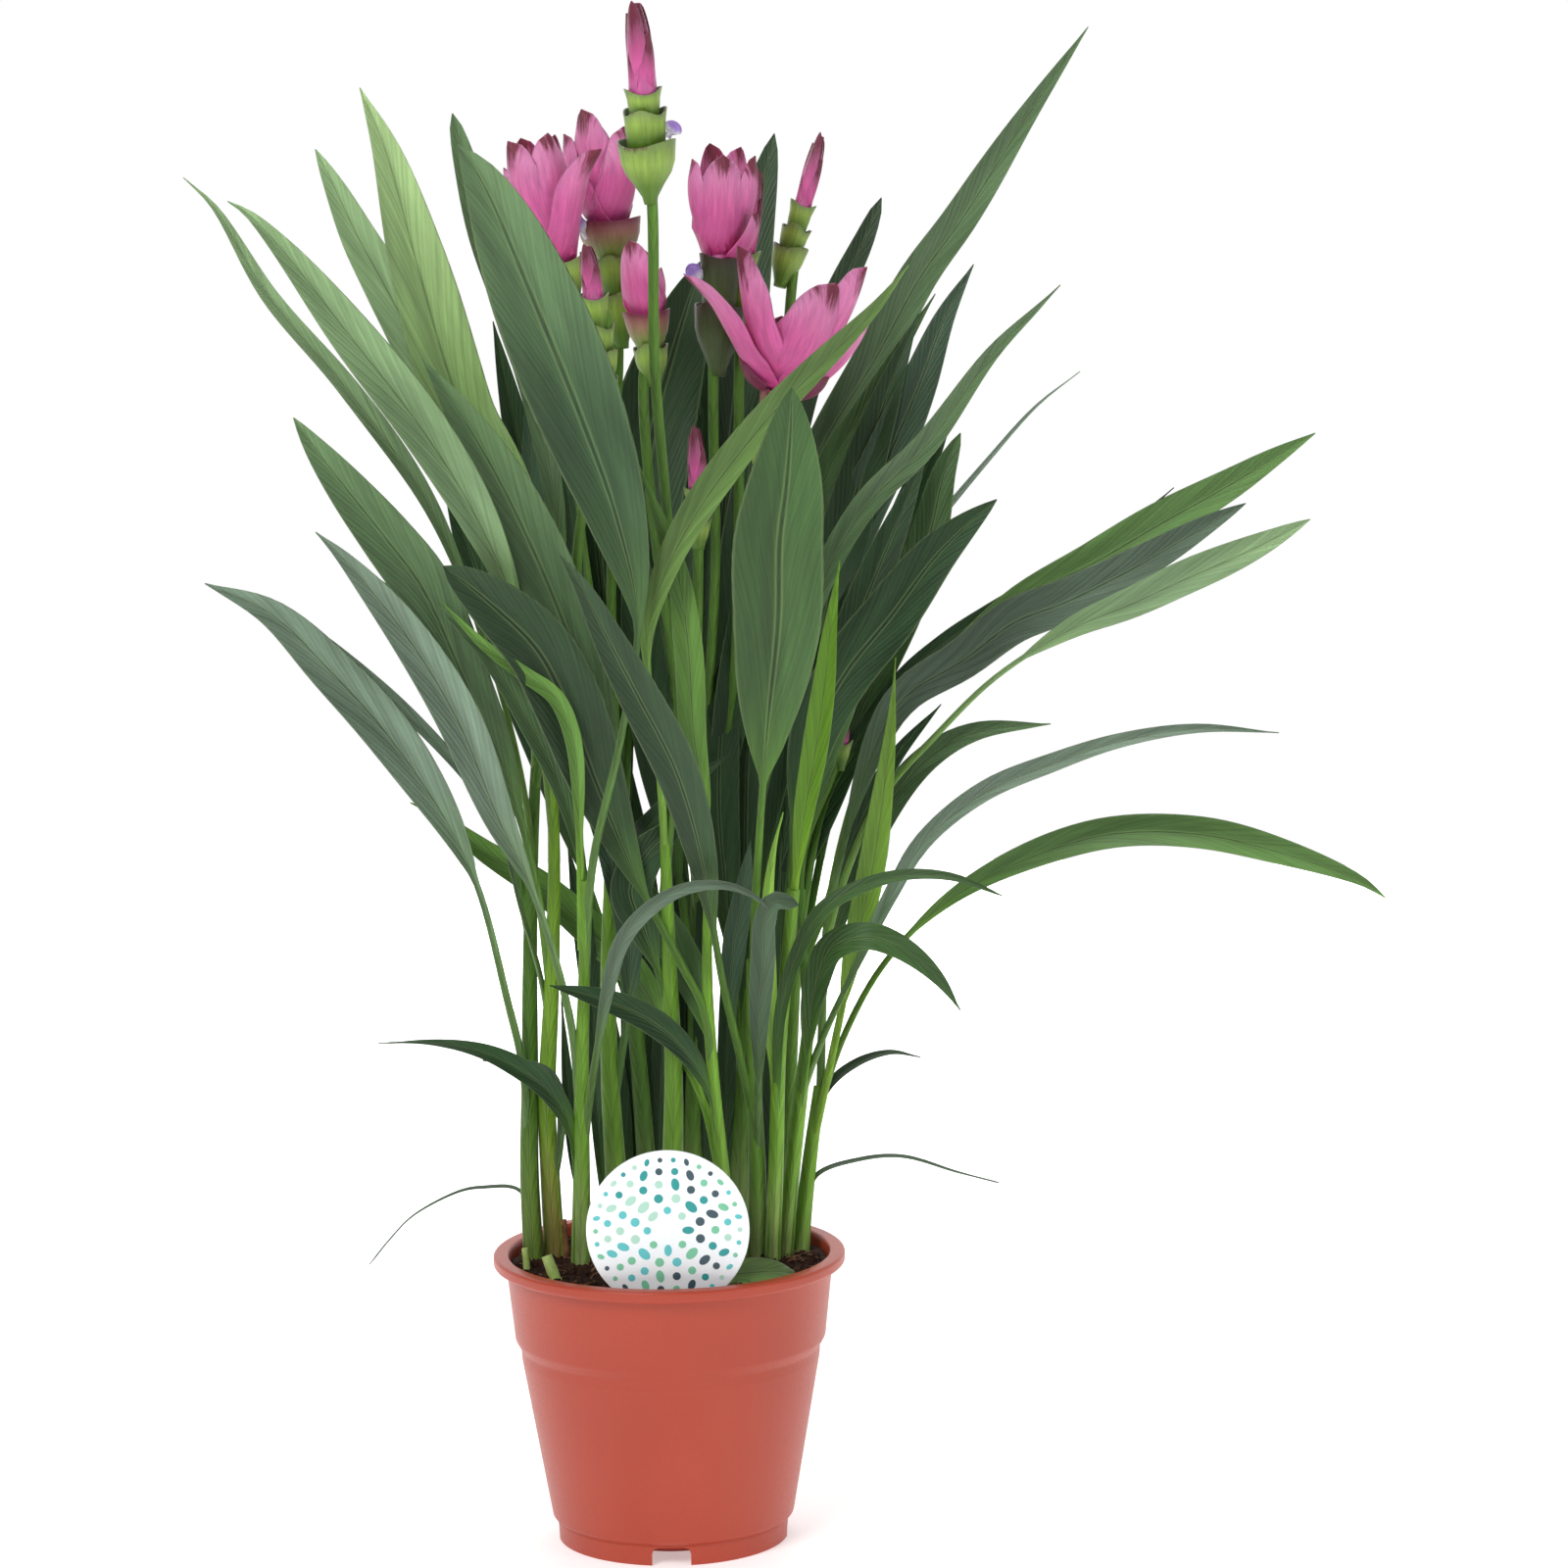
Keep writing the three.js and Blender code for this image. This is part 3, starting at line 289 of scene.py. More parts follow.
cutter_shape = bmesh.new()
for turn in range(4):
    quarter = Matrix.Rotation(turn * math.pi / 2, 3, "Z")
    outer, inner = (
        [cutter_shape.verts.new(quarter @ Vector((x, y, z))) for x, z in NOTCH_OUTLINE] for y in NOTCH_REACH)
    cutter_shape.faces.new(outer)
    cutter_shape.faces.new(inner[::-1])
    for k in range(len(outer)):
        n = (k + 1) % len(outer)
        cutter_shape.faces.new((outer[k], inner[k], inner[n], outer[n]))
for k in range(DRAIN_HOLES):
    angle = (k + 0.5) * 2 * math.pi / DRAIN_HOLES
    hole_middle = (DRAIN_RING * math.cos(angle), DRAIN_RING * math.sin(angle), 0.0095)
    bmesh.ops.create_cone(
        cutter_shape, segments=24, cap_ends=True, radius1=DRAIN_RADIUS, radius2=DRAIN_RADIUS, depth=0.012,
        matrix=Matrix.Translation(hole_middle))
bmesh.ops.recalc_face_normals(cutter_shape, faces=cutter_shape.faces)
cutter = new_object("notch_cutter", made_mesh(cutter_shape, "notch_cutter"))
for kind, other in (("UNION", seat), ("DIFFERENCE", cutter)):
    modifier = pot_blank.modifiers.new(kind.lower(), "BOOLEAN")
    modifier.operation = kind
    modifier.object = other
    modifier.solver = "EXACT"
pot_mesh = plain_mesh(pot_blank, "Pot")
for spare in (seat, cutter):
    bpy.data.objects.remove(spare)
smooth(pot_mesh, 40)
pot = new_object("Pot", pot_mesh, pot_plastic())
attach(pot, "root")
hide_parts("pot")


# The soil is a plug of dark peat pressed into the pot, a little mounded in the middle. Its top is
# crumbly: coarse and fine crumbs of peat and pale bits of root fibre lie loose on it.
SOIL_EDGE_RADIUS = 0.0670
SOIL_TOP = 0.119
SOIL_MOUND = 0.0015
SOIL_BASE = 0.0022
SOIL_RINGS = 34
BED_RADIUS = 0.0655
BED_LIFT = 0.0003


def soil_height(x, y):
    radius = math.hypot(x, y) / SOIL_EDGE_RADIUS
    spot = Vector((x * 55, y * 55, 0.3))
    lump = noise.noise(spot) * 0.0022 + noise.noise(spot * 2.7) * 0.0011 + noise.noise(spot * 7) * 0.0006
    banked = 0.0022 * max(0.0, radius - 0.72) / 0.28 * (0.6 + 0.9 * noise.noise(Vector((x * 28, y * 28, 4))))
    return SOIL_TOP + SOIL_MOUND * (1 - min(1, radius) ** 2) + lump + banked


def peat():
    finish = Finish("Peat")
    broad, fine = finish.noise(70, 4, 0.65), finish.noise(420, 5, 0.7)
    dark = finish.mixed(finish.mapped(broad, 0.35, 0.65, 0, 1), linear(34, 20, 15), linear(66, 40, 29))
    pale_share = finish.mapped(fine, 0.62, 0.75, 0, 0.6)
    finish.feed("Base Color", finish.mixed(pale_share, dark, linear(118, 82, 60)))
    finish.feed("Roughness", finish.mapped(fine, 0.3, 0.7, 0.75, 1.0))
    finish.bump(fine, 0.9, 0.0012)
    finish.set(Specular_IOR_Level=0.2)
    return finish.material


class NodeTree(Nodes):
    """A Geometry Nodes tree with named inputs; its result ends in Realize Instances and Set Material."""

    def __init__(self, name, inputs):
        self.tree = bpy.data.node_groups.new(name, "GeometryNodeTree")
        self.tree.interface.new_socket("Geometry", in_out="INPUT", socket_type="NodeSocketGeometry")
        for label, kind in inputs:
            self.tree.interface.new_socket(label, in_out="INPUT", socket_type="NodeSocket" + kind)
        self.tree.interface.new_socket("Geometry", in_out="OUTPUT", socket_type="NodeSocketGeometry")
        self.start = self.tree.nodes.new("NodeGroupInput")

    def given(self, label):
        return Value(self, self.start.outputs[label])

    def named(self, name, kind="FLOAT"):
        return self.add("GeometryNodeInputNamedAttribute", {"Name": name}, "Attribute", data_type=kind)

    def stored(self, geometry, name, value, kind="FLOAT"):
        return self.add("GeometryNodeStoreNamedAttribute", {
            "Geometry": geometry, "Name": name, "Value": value}, data_type=kind)

    def vectors(self, kind, first, second):
        return self.add("ShaderNodeVectorMath", {0: first, 1: second}, operation=kind)

    def scaled(self, vector, amount):
        return self.add("ShaderNodeVectorMath", {0: vector, "Scale": amount}, operation="SCALE")

    def finish(self, geometry, material):
        real = self.add("GeometryNodeRealizeInstances", {"Geometry": geometry})
        done = self.add("GeometryNodeSetMaterial", {"Geometry": real, "Material": material})
        self.tree.links.new(done.socket, self.tree.nodes.new("NodeGroupOutput").inputs[0])
        return self

    def grown(self, name, mesh, **values):
        """The plain mesh that this tree makes from the given one, with these inputs."""
        piece = new_object(name + "_start", mesh)
        modifier = piece.modifiers.new("grow", "NODES")
        modifier.node_group = self.tree
        for socket in self.tree.interface.items_tree:
            key = socket.name.replace(" ", "_").lower()
            if socket.in_out == "INPUT" and key in values:
                modifier[socket.identifier] = values[key]
        return plain_mesh(piece, name)


def crumb(tree):
    """A knobbly ball of radius 1."""
    ball = tree.add("GeometryNodeMeshIcoSphere", {"Radius": 1.0, "Subdivisions": 2}, "Mesh")
    spot = tree.add("GeometryNodeInputPosition")
    jitter = tree.add("ShaderNodeTexNoise", {"Scale": 1.3, "Detail": 2.0, "Vector": spot}, "Color")
    knobs = tree.scaled(tree.vectors("SUBTRACT", jitter, (0.5, 0.5, 0.5)), 1.5)
    return tree.add("GeometryNodeSetPosition", {"Geometry": ball, "Offset": knobs})


def fibre(tree):
    """A thin bent thread of length 1."""
    bend = tree.add("GeometryNodeCurveQuadraticBezier", {
        "Resolution": 5, "Start": (-0.5, 0, 0), "Middle": (0.05, 0.35, 0.25), "End": (0.5, 0, 0.05)})
    thread = tree.add("GeometryNodeCurvePrimitiveCircle", {"Resolution": 4, "Radius": 0.028})
    return tree.add("GeometryNodeCurveToMesh", {"Curve": bend, "Profile Curve": thread, "Fill Caps": True})


def scatter_tree(name, bit, turns, size_seed, turn_seed):
    """A tree that lays copies of one bit over a surface, each sized and turned at random."""
    tree = NodeTree(name, [
        ("Bits per square metre", "Float"), ("Smallest", "Float"), ("Largest", "Float"), ("Seed", "Int"),
        ("Skin", "Material"),
    ])
    spots = tree.add("GeometryNodeDistributePointsOnFaces", {
        "Mesh": tree.given("Geometry"), "Density": tree.given("Bits per square metre"),
        "Seed": tree.given("Seed")}, "Points")
    size = tree.add("FunctionNodeRandomValue", {
        2: tree.given("Smallest"), 3: tree.given("Largest"), "Seed": size_seed}, 1, data_type="FLOAT")
    turn = tree.add("FunctionNodeRandomValue", {
        0: turns[0], 1: turns[1], "Seed": turn_seed}, 0, data_type="FLOAT_VECTOR")
    laid = tree.add("GeometryNodeInstanceOnPoints", {
        "Points": spots, "Instance": bit(tree), "Rotation": turn, "Scale": size})
    return tree.finish(laid, tree.given("Skin"))


soil_outline = [(0.0006, SOIL_TOP + SOIL_MOUND)]
soil_outline += [(SOIL_EDGE_RADIUS * k / SOIL_RINGS, SOIL_TOP) for k in range(1, SOIL_RINGS + 1)]
soil_outline += [(0.0646, 0.0915), (0.0617, 0.0795), (0.0488, 0.0128), (0.0300, 0.0122), (0.0262, SOIL_BASE)]
soil_outline += [(0.0006, SOIL_BASE)]
soil_mesh = turned_shell(soil_outline, 120, (SOIL_TOP + SOIL_MOUND, SOIL_BASE))
for vertex in soil_mesh.vertices:
    if vertex.co.z > 0.1:
        vertex.co.z = soil_height(vertex.co.x, vertex.co.y)
smooth(soil_mesh, 60)
peat_finish = peat()
soil = new_object("Soil", soil_mesh, peat_finish)
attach(soil, "root")
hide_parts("soil")

soil_face = bmesh.new()
bmesh.ops.create_grid(soil_face, x_segments=60, y_segments=60, size=0.066)
bmesh.ops.delete(soil_face, geom=[v for v in soil_face.verts if v.co.length > BED_RADIUS], context="VERTS")
for vertex in soil_face.verts:
    vertex.co.z = soil_height(vertex.co.x, vertex.co.y) + BED_LIFT
bed_mesh = made_mesh(soil_face, "bed")
fibre_skin = mottled(
    "Root_fibre", 160, 2, (92, 60, 42), (158, 120, 90), (0.8, 0.8), Specular_IOR_Level=0.2)
crumb_tree = scatter_tree("Loose_crumbs", crumb, ((0, 0, 0), (6.2, 6.2, 6.2)), 3, 5)
fibre_tree = scatter_tree("Root_fibres", fibre, ((-0.5, -0.5, 0), (0.5, 0.5, 6.3)), 8, 9)
LOOSE_BITS = (
    ("Crumbs_coarse", crumb_tree, 52000.0, 0.0007, 0.0021, 11, peat_finish),
    ("Crumbs_fine", crumb_tree, 90000.0, 0.0003, 0.0009, 12, peat_finish),
    ("Root_fibres", fibre_tree, 32000.0, 0.003, 0.009, 4, fibre_skin),
)
for name, tree, per_area, smallest, largest, seed, skin in LOOSE_BITS:
    bits = new_object(name, tree.grown(
        name, bed_mesh.copy(), bits_per_square_metre=per_area, smallest=smallest, largest=largest, seed=seed,
        skin=skin))
    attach(bits, "root")
    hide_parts("soil")


# The tag is a round card of white plastic on a tapering stake, pushed into the soil behind the
# front of the rim. Rings of small teal, green and slate dots are printed on its face.
TAG_MIDDLE = Vector((0.0008, -0.056, 0.1464))
TAG_RADIUS = 0.034
TAG_THICKNESS = 0.001
TAG_STEPS = 96
STAKE_HALF_ANGLE = 8.3
STAKE = ((-0.0048, -0.050), (-0.0040, -0.0650), (-0.0022, -0.0705), (0, -0.0730))
INKS = [linear(*c) for c in ((38, 152, 150), (120, 196, 158), (176, 218, 200), (58, 82, 92), (92, 194, 196))]
INK_HEIGHT = 0.00006
DOT_RINGS = (
    (0.0085, 8, 0.0016), (0.0140, 12, 0.0019), (0.0198, 18, 0.0017), (0.0252, 24, 0.0015),
    (0.0300, 34, 0.0010),
)


def tag_plastic():
    return mottled(
        "Tag_plastic", 1400, 2, (240, 246, 250), (248, 252, 254), (0.32, 0.42), Specular_IOR_Level=0.4)


def printed_dots():
    finish = Finish("Printed_dots")
    finish.feed("Base Color", finish.stored("ink", "Color"))
    finish.feed("Roughness", finish.mapped(finish.noise(1400, 2), 0.3, 0.7, 0.4, 0.5))
    return finish.material


POINT_KINDS = {1: ("FLOAT", "value"), 3: ("FLOAT_VECTOR", "vector"), 4: ("FLOAT_COLOR", "color")}


def store(mesh, rows):
    """Puts named rows of numbers, vectors or colours on the points of the mesh."""
    for name, row in rows.items():
        row = np.array(row, dtype=np.float32)
        kind, field = POINT_KINDS[1 if row.ndim == 1 else row.shape[1]]
        mesh.attributes.new(name, kind, "POINT").data.foreach_set(field, row.ravel())


tag_shape = bmesh.new()
outline = []
round_card = 2 * math.pi - math.radians(2 * STAKE_HALF_ANGLE)
for k in range(TAG_STEPS + 1):
    angle = math.radians(-90 + STAKE_HALF_ANGLE) + round_card * k / TAG_STEPS
    outline.append((TAG_RADIUS * math.cos(angle), TAG_RADIUS * math.sin(angle)))
outline += [*STAKE, *((-x, z) for x, z in STAKE[-2::-1])]
front_face = tag_shape.faces.new([tag_shape.verts.new((x, -TAG_THICKNESS / 2, z)) for x, z in outline])
thickened = bmesh.ops.extrude_face_region(tag_shape, geom=[front_face])
back_points = [v for v in thickened["geom"] if isinstance(v, bmesh.types.BMVert)]
bmesh.ops.translate(tag_shape, vec=(0, TAG_THICKNESS, 0), verts=back_points)
bmesh.ops.translate(tag_shape, vec=TAG_MIDDLE, verts=tag_shape.verts)
bmesh.ops.recalc_face_normals(tag_shape, faces=tag_shape.faces)
tag_start = new_object("tag_start", made_mesh(tag_shape, "tag_start"), tag_plastic())
edge = tag_start.modifiers.new("soft_edge", "BEVEL")
edge.width = 0.0003
edge.segments = 3
edge.limit_method = "ANGLE"
edge.angle_limit = math.radians(50)
tag_mesh = plain_mesh(tag_start, "Tag")
smooth(tag_mesh, 40)
tag = new_object("Tag", tag_mesh)
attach(tag, "root")
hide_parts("tag")

dot_tree = NodeTree("Printed_rings", [("Ink height", "Float"), ("Ink", "Material")])
dot_shape = dot_tree.add("GeometryNodeMeshCylinder", {"Vertices": 20, "Radius": 1.0, "Depth": 1.0}, "Mesh")
dot_size = dot_tree.add("ShaderNodeCombineXYZ", {
    0: dot_tree.named("size"), 1: dot_tree.named("size") * dot_tree.named("stretch"),
    2: dot_tree.given("Ink height"),
})
dots_set = dot_tree.add("GeometryNodeInstanceOnPoints", {
    "Points": dot_tree.given("Geometry"), "Instance": dot_shape,
    "Rotation": dot_tree.named("heading", "FLOAT_VECTOR"), "Scale": dot_size,
})
dot_tree.finish(dots_set, dot_tree.given("Ink"))

dots = []
for ring, (radius, count, dot) in enumerate(DOT_RINGS):
    for k in range(count):
        angle = 2 * math.pi * (k + 0.5 * (ring % 2)) / count
        ink = INKS[(k * 2 + ring * 3 + (k // 3)) % len(INKS)]
        dots.append((radius * math.cos(angle), radius * math.sin(angle), dot, ink, angle))
dots_start = bpy.data.meshes.new("dots")
ink_depth = -TAG_THICKNESS / 2 - INK_HEIGHT / 2
dots_start.from_pydata([TAG_MIDDLE + Vector((x, ink_depth, z)) for x, z, *_ in dots], [], [])
store(dots_start, {
    "size": [dot for _, _, dot, _, _ in dots],
    "stretch": [1.0 + 0.55 * ((i * 7) % 3 == 0) for i in range(len(dots))],
    "heading": [(math.pi / 2, angle + math.pi / 2, 0) for *_, angle in dots],
    "ink": [(*ink, 1) for _, _, _, ink, _ in dots],
})
dots_mesh = dot_tree.grown("Tag_dots", dots_start, ink_height=INK_HEIGHT, ink=printed_dots())
tag_dots = new_object("Tag_dots", dots_mesh)
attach(tag_dots, "root")
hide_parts("tag")


# The leafy shoots stand in the soil in a tight clump. Each is a bundle of clasping sheaths that
# opens into channelled leaf stalks and long, narrow, folded blades with fine slanting veins;
# some send up a flower stalk. Measured in mm in the upright plane through the pot's axis.
PLANT_EYE = np.array((51.5, -2200.0, 651.0))
CLUMP_MIDDLE = 14
SPREAD_FROM = 113
SOIL_LEVEL = 120
ROOT_DEPTH = 20
STALK_WIDTH = 3.6
STALK_THICKNESS = 2.6
BLADE_THICKNESS = 0.55
STEM_POINTS = 36
SHEATH_POINTS = 60


def seen(across, height, ahead):
    """A point of the plant, in mm: ahead moves it along its line of sight, 1 front and -1 back."""
    depth = CLUMP_MIDDLE - ahead * (34 + 0.26 * max(0, height - SPREAD_FROM))
    share = 1 - depth / PLANT_EYE[1]
    moved = PLANT_EYE + (np.array((across, 0, height)) - PLANT_EYE) * share
    return np.array((moved[0], depth, moved[2]))


def even_path(spots, count):
    """Points and directions at even steps along a smooth curve through the spots."""
    spots = [np.asarray(s, dtype=float) for s in spots]
    ends = [2 * spots[0] - spots[1], *spots, 2 * spots[-1] - spots[-2]]
    dense = []
    for p0, p1, p2, p3 in zip(ends, ends[1:], ends[2:], ends[3:]):
        gaps = [max(np.linalg.norm(b - a) ** 0.5, 1e-4) for a, b in ((p0, p1), (p1, p2), (p2, p3))]
        lean_in = ((p1 - p0) / gaps[0] - (p2 - p0) / (gaps[0] + gaps[1]) + (p2 - p1) / gaps[1]) * gaps[1]
        lean_out = ((p2 - p1) / gaps[1] - (p3 - p1) / (gaps[1] + gaps[2]) + (p3 - p2) / gaps[2]) * gaps[1]
        for t in np.linspace(0, 1, 30, endpoint=False):
            dense.append(
                p1 + lean_in * t + (3 * (p2 - p1) - 2 * lean_in - lean_out) * t ** 2
                + (2 * (p1 - p2) + lean_in + lean_out) * t ** 3)
    dense = np.array([*dense, spots[-1]])
    run = np.concatenate(([0], np.cumsum(np.linalg.norm(np.diff(dense, axis=0), axis=1))))
    at = np.linspace(0, run[-1], count)
    points = np.stack([np.interp(at, run, dense[:, k]) for k in range(3)], axis=1)
    ways = np.gradient(points, axis=0)
    return points, ways / np.linalg.norm(ways, axis=1)[:, None], at


def ease(share, low, high):
    t = np.clip((share - low) / (high - low), 0, 1)
    return t * t * (3 - 2 * t)


class Strands:
    """Midribs of blades and axes of stems, with what the node tree needs at each of their points."""

    def __init__(self):
        self.rows = {}
        self.edges = []
        self.count = 0

    def add(self, points, ways, run, half, thick, turn=0.0, fold=0.0, tint=(0.1, 0.2, 0.1),
            front=(0, -1, 0.12), draw=0.0):
        """A strand along the points; half is half its width, and its face is turned from the front."""
        number = len(points)
        ones = np.ones(number)
        front = np.broadcast_to(np.asarray(front, dtype=float), (number, 3))
        face = front - ways * np.sum(front * ways, axis=1)[:, None]
        face = face / np.linalg.norm(face, axis=1)[:, None]
        angle = np.radians(turn * ones)[:, None]
        face = face * np.cos(angle) + np.cross(ways, face) * np.sin(angle)
        tints = np.broadcast_to(np.asarray(tint, dtype=float), (number, 3))
        new_rows = {
            "place": points / 1000, "face": face, "side": np.cross(ways, face), "half": half / 1000 * ones,
            "thick": thick / 1000 * ones, "fold": np.radians(fold * ones), "along": np.linspace(0, 1, number),
            "run": run / 1000, "draw": draw * ones, "tint": np.concatenate((tints, ones[:, None]), axis=1),
        }
        for key, row in new_rows.items():
            self.rows.setdefault(key, []).append(np.asarray(row, dtype=np.float32))
        self.edges += [(self.count + k, self.count + k + 1) for k in range(number - 1)]
        self.count += number

    def mesh(self, name):
        mesh = bpy.data.meshes.new(name)
        rows = {key: np.concatenate(row) for key, row in self.rows.items()}
        mesh.from_pydata(rows.pop("place").tolist(), self.edges, [])
        store(mesh, rows)
        return mesh


# One tree makes every blade, stalk, stem and bract: a ring of points goes along each midrib, and is
# flattened, folded or cupped and waved by the values stored there.
blade_tree = NodeTree("Blades_along_midribs", [
    ("Points round", "Int"), ("Cup", "Float"), ("Edge wave", "Float"), ("Waves per metre", "Float"),
    ("Skin", "Material"),
])
given, named, power = blade_tree.given, blade_tree.named, functools.partial(blade_tree.math, "POWER")
spot = blade_tree.add("GeometryNodeInputPosition")
midribs = blade_tree.add("GeometryNodeMeshToCurve", {"Mesh": given("Geometry")}, "Curve")
midribs = blade_tree.stored(midribs, "middle", spot, "FLOAT_VECTOR")
ring = blade_tree.add("GeometryNodeCurvePrimitiveCircle", {
    "Resolution": given("Points round"), "Radius": 1.0})
for index, label in enumerate(("across", "level")):
    ring = blade_tree.stored(ring, label, blade_tree.add("ShaderNodeSeparateXYZ", {0: spot}, index))
blade_skin = blade_tree.add("GeometryNodeCurveToMesh", {
    "Curve": midribs, "Profile Curve": ring, "Fill Caps": True})
across, half, fold = named("across"), named("half"), named("fold")
reach = power(blade_tree.math("ABSOLUTE", across), 1.25)
sided = reach * blade_tree.math("SIGN", across)
cupped = blade_tree.math("SINE", fold) * power(reach, given("Cup"))
phase = named("run") * given("Waves per metre") + (named("draw") + sided * 1.4)
waved = blade_tree.math("SINE", phase) * (given("Edge wave") * power(reach, 3.0))
lift = half * (cupped + waved) + named("thick") * 0.5 * named("level")
out = half * sided * blade_tree.math("COSINE", fold)
place = named("middle", "FLOAT_VECTOR")
for way, amount in (("side", out), ("face", lift)):
    place = blade_tree.vectors("ADD", place, blade_tree.scaled(named(way, "FLOAT_VECTOR"), amount))
blade_skin = blade_tree.add("GeometryNodeSetPosition", {"Geometry": blade_skin, "Position": place})
blade_skin = blade_tree.add("GeometryNodeSetShadeSmooth", {"Geometry": blade_skin, "Shade Smooth": True})
blade_tree.finish(blade_skin, given("Skin"))


def facing_out(mesh):
    shape = bmesh.new()
    shape.from_mesh(mesh)
    bmesh.ops.recalc_face_normals(shape, faces=shape.faces)
    shape.to_mesh(mesh)
    shape.free()
    return mesh


def leaf_skin():
    """Waxy green: the tint of each leaf, streaks along it and slanting veins, with painted light and shade: a
    darker crease along the midrib with a pale line beside it, one half of the blade darker than the other,
    and a pale edge like light showing through it.
    """
    finish = Finish("Curcuma_leaf")
    across, run, half = finish.stored("across"), finish.stored("run"), finish.stored("half")
    aside = finish.math("ABSOLUTE", across)
    breadth = across * half
    slant = run * 0.2 - finish.math("ABSOLUTE", breadth)
    veins = finish.math("SINE", slant * 3600.0)
    streaks = finish.streaks(slant * 520.0, run * 8.0)
    broad = finish.streaks(breadth * 130.0, run * 14.0)
    # Painted shade: the blade darkens to 0.6 in a narrow crease along the midrib.
    groove_shade = finish.mapped(aside, 0.015, 0.07, 0.6, 1.0)
    shade = finish.mapped(streaks, 0.3, 0.7, 0.8, 1.2) * finish.mapped(broad, 0.3, 0.7, 0.78, 1.22)
    shade = shade * finish.mapped(veins, -1.0, 1.0, 0.95, 1.04) * groove_shade
    # Painted shade and light: one half of the blade darkened and the other lightened, with a darker band
    # beside the midrib, as if lit from one side.
    shade = shade * finish.mapped(across, 0.02, 0.4, 0.8, 1.0) * finish.mapped(across, -0.4, -0.04, 1.0, 1.14)
    body = finish.shaded(finish.stored("tint", "Color"), shade)
    # Painted highlight: a pale line on the lip of the crease along the midrib.
    keel_highlight = finish.mapped(aside, 0.05, 0.08, 0.0, 0.3) * finish.mapped(aside, 0.09, 0.16, 1.0, 0.0)
    body = finish.mixed(keel_highlight, body, linear(132, 158, 98))
    # Painted rim light: the thin edge of the blade turns pale, like light showing through it.
    body = finish.mixed(finish.mapped(aside, 0.94, 1.0, 0.0, 0.4), body, linear(140, 160, 112))
    under = finish.mapped(finish.stored("level"), -0.3, -0.1, 0.35, 0.0)
    finish.feed("Base Color", finish.mixed(under, body, linear(112, 132, 106)))
    finish.feed("Roughness", finish.mapped(streaks, 0.3, 0.7, 0.38, 0.54))
    finish.bump(veins * 0.2 + groove_shade * 1.2 + streaks * 1.5, 0.5, 0.0005)
    finish.set(Specular_IOR_Level=0.26)
    return finish.material


# The dark green is partly the darker colour of some leaves and partly painted shade: the leaves and upright
# sheath blades deep in the clump and in the back shoots take it where the clump lies in shadow.
GREENS = {
    "dark": ((74, 112, 36), (42, 68, 38)), "mid": ((86, 126, 38), (62, 92, 48)),
    "blue": ((78, 114, 50), (62, 86, 64)), "deep": ((78, 114, 40), (50, 71, 46)),
    "light": ((104, 142, 52), (98, 128, 68)), "fresh": ((104, 148, 42), (88, 126, 54)),
    "yellow": ((112, 152, 40), (98, 142, 36)), "lime": ((124, 164, 52), (116, 156, 58)),
    "grey": ((80, 108, 58), (66, 86, 64)), "slate": ((92, 124, 62), (84, 102, 84)),
    "leafy": ((98, 136, 50), (92, 128, 68)), "frost": ((98, 130, 70), (110, 130, 110)),
    "soft": ((92, 130, 52), (78, 104, 68), (94, 122, 82)),
    "front": ((84, 118, 56), (58, 84, 54), (98, 126, 86)),
    "silver": ((106, 142, 64), (118, 146, 104), (134, 164, 116)),
    "bright": ((118, 154, 62), (122, 154, 90), (160, 190, 130)),
}


def greens(kind, share, up=0.0):
    """Linear colours: from the stalk's to the blade's by share, and on to the tip's by up."""
    stalk, blade, tip = (np.array(linear(*c)) for c in (*GREENS[kind], GREENS[kind][-1])[:3])
    share, up = np.asarray(share)[:, None], np.reshape(up, (-1, 1))
    return (stalk * (1 - share) + blade * share) * (1 - up) + tip * up


def lance(share, stalk, widest):
    """Share of the full width along a leaf: a stalk, then a long lance shape with a fine tip."""
    t = np.clip((share - stalk) / (1 - stalk), 0, 1)
    return (t / widest) * ((1 - t) / (1 - widest)) ** ((1 - widest) / widest)


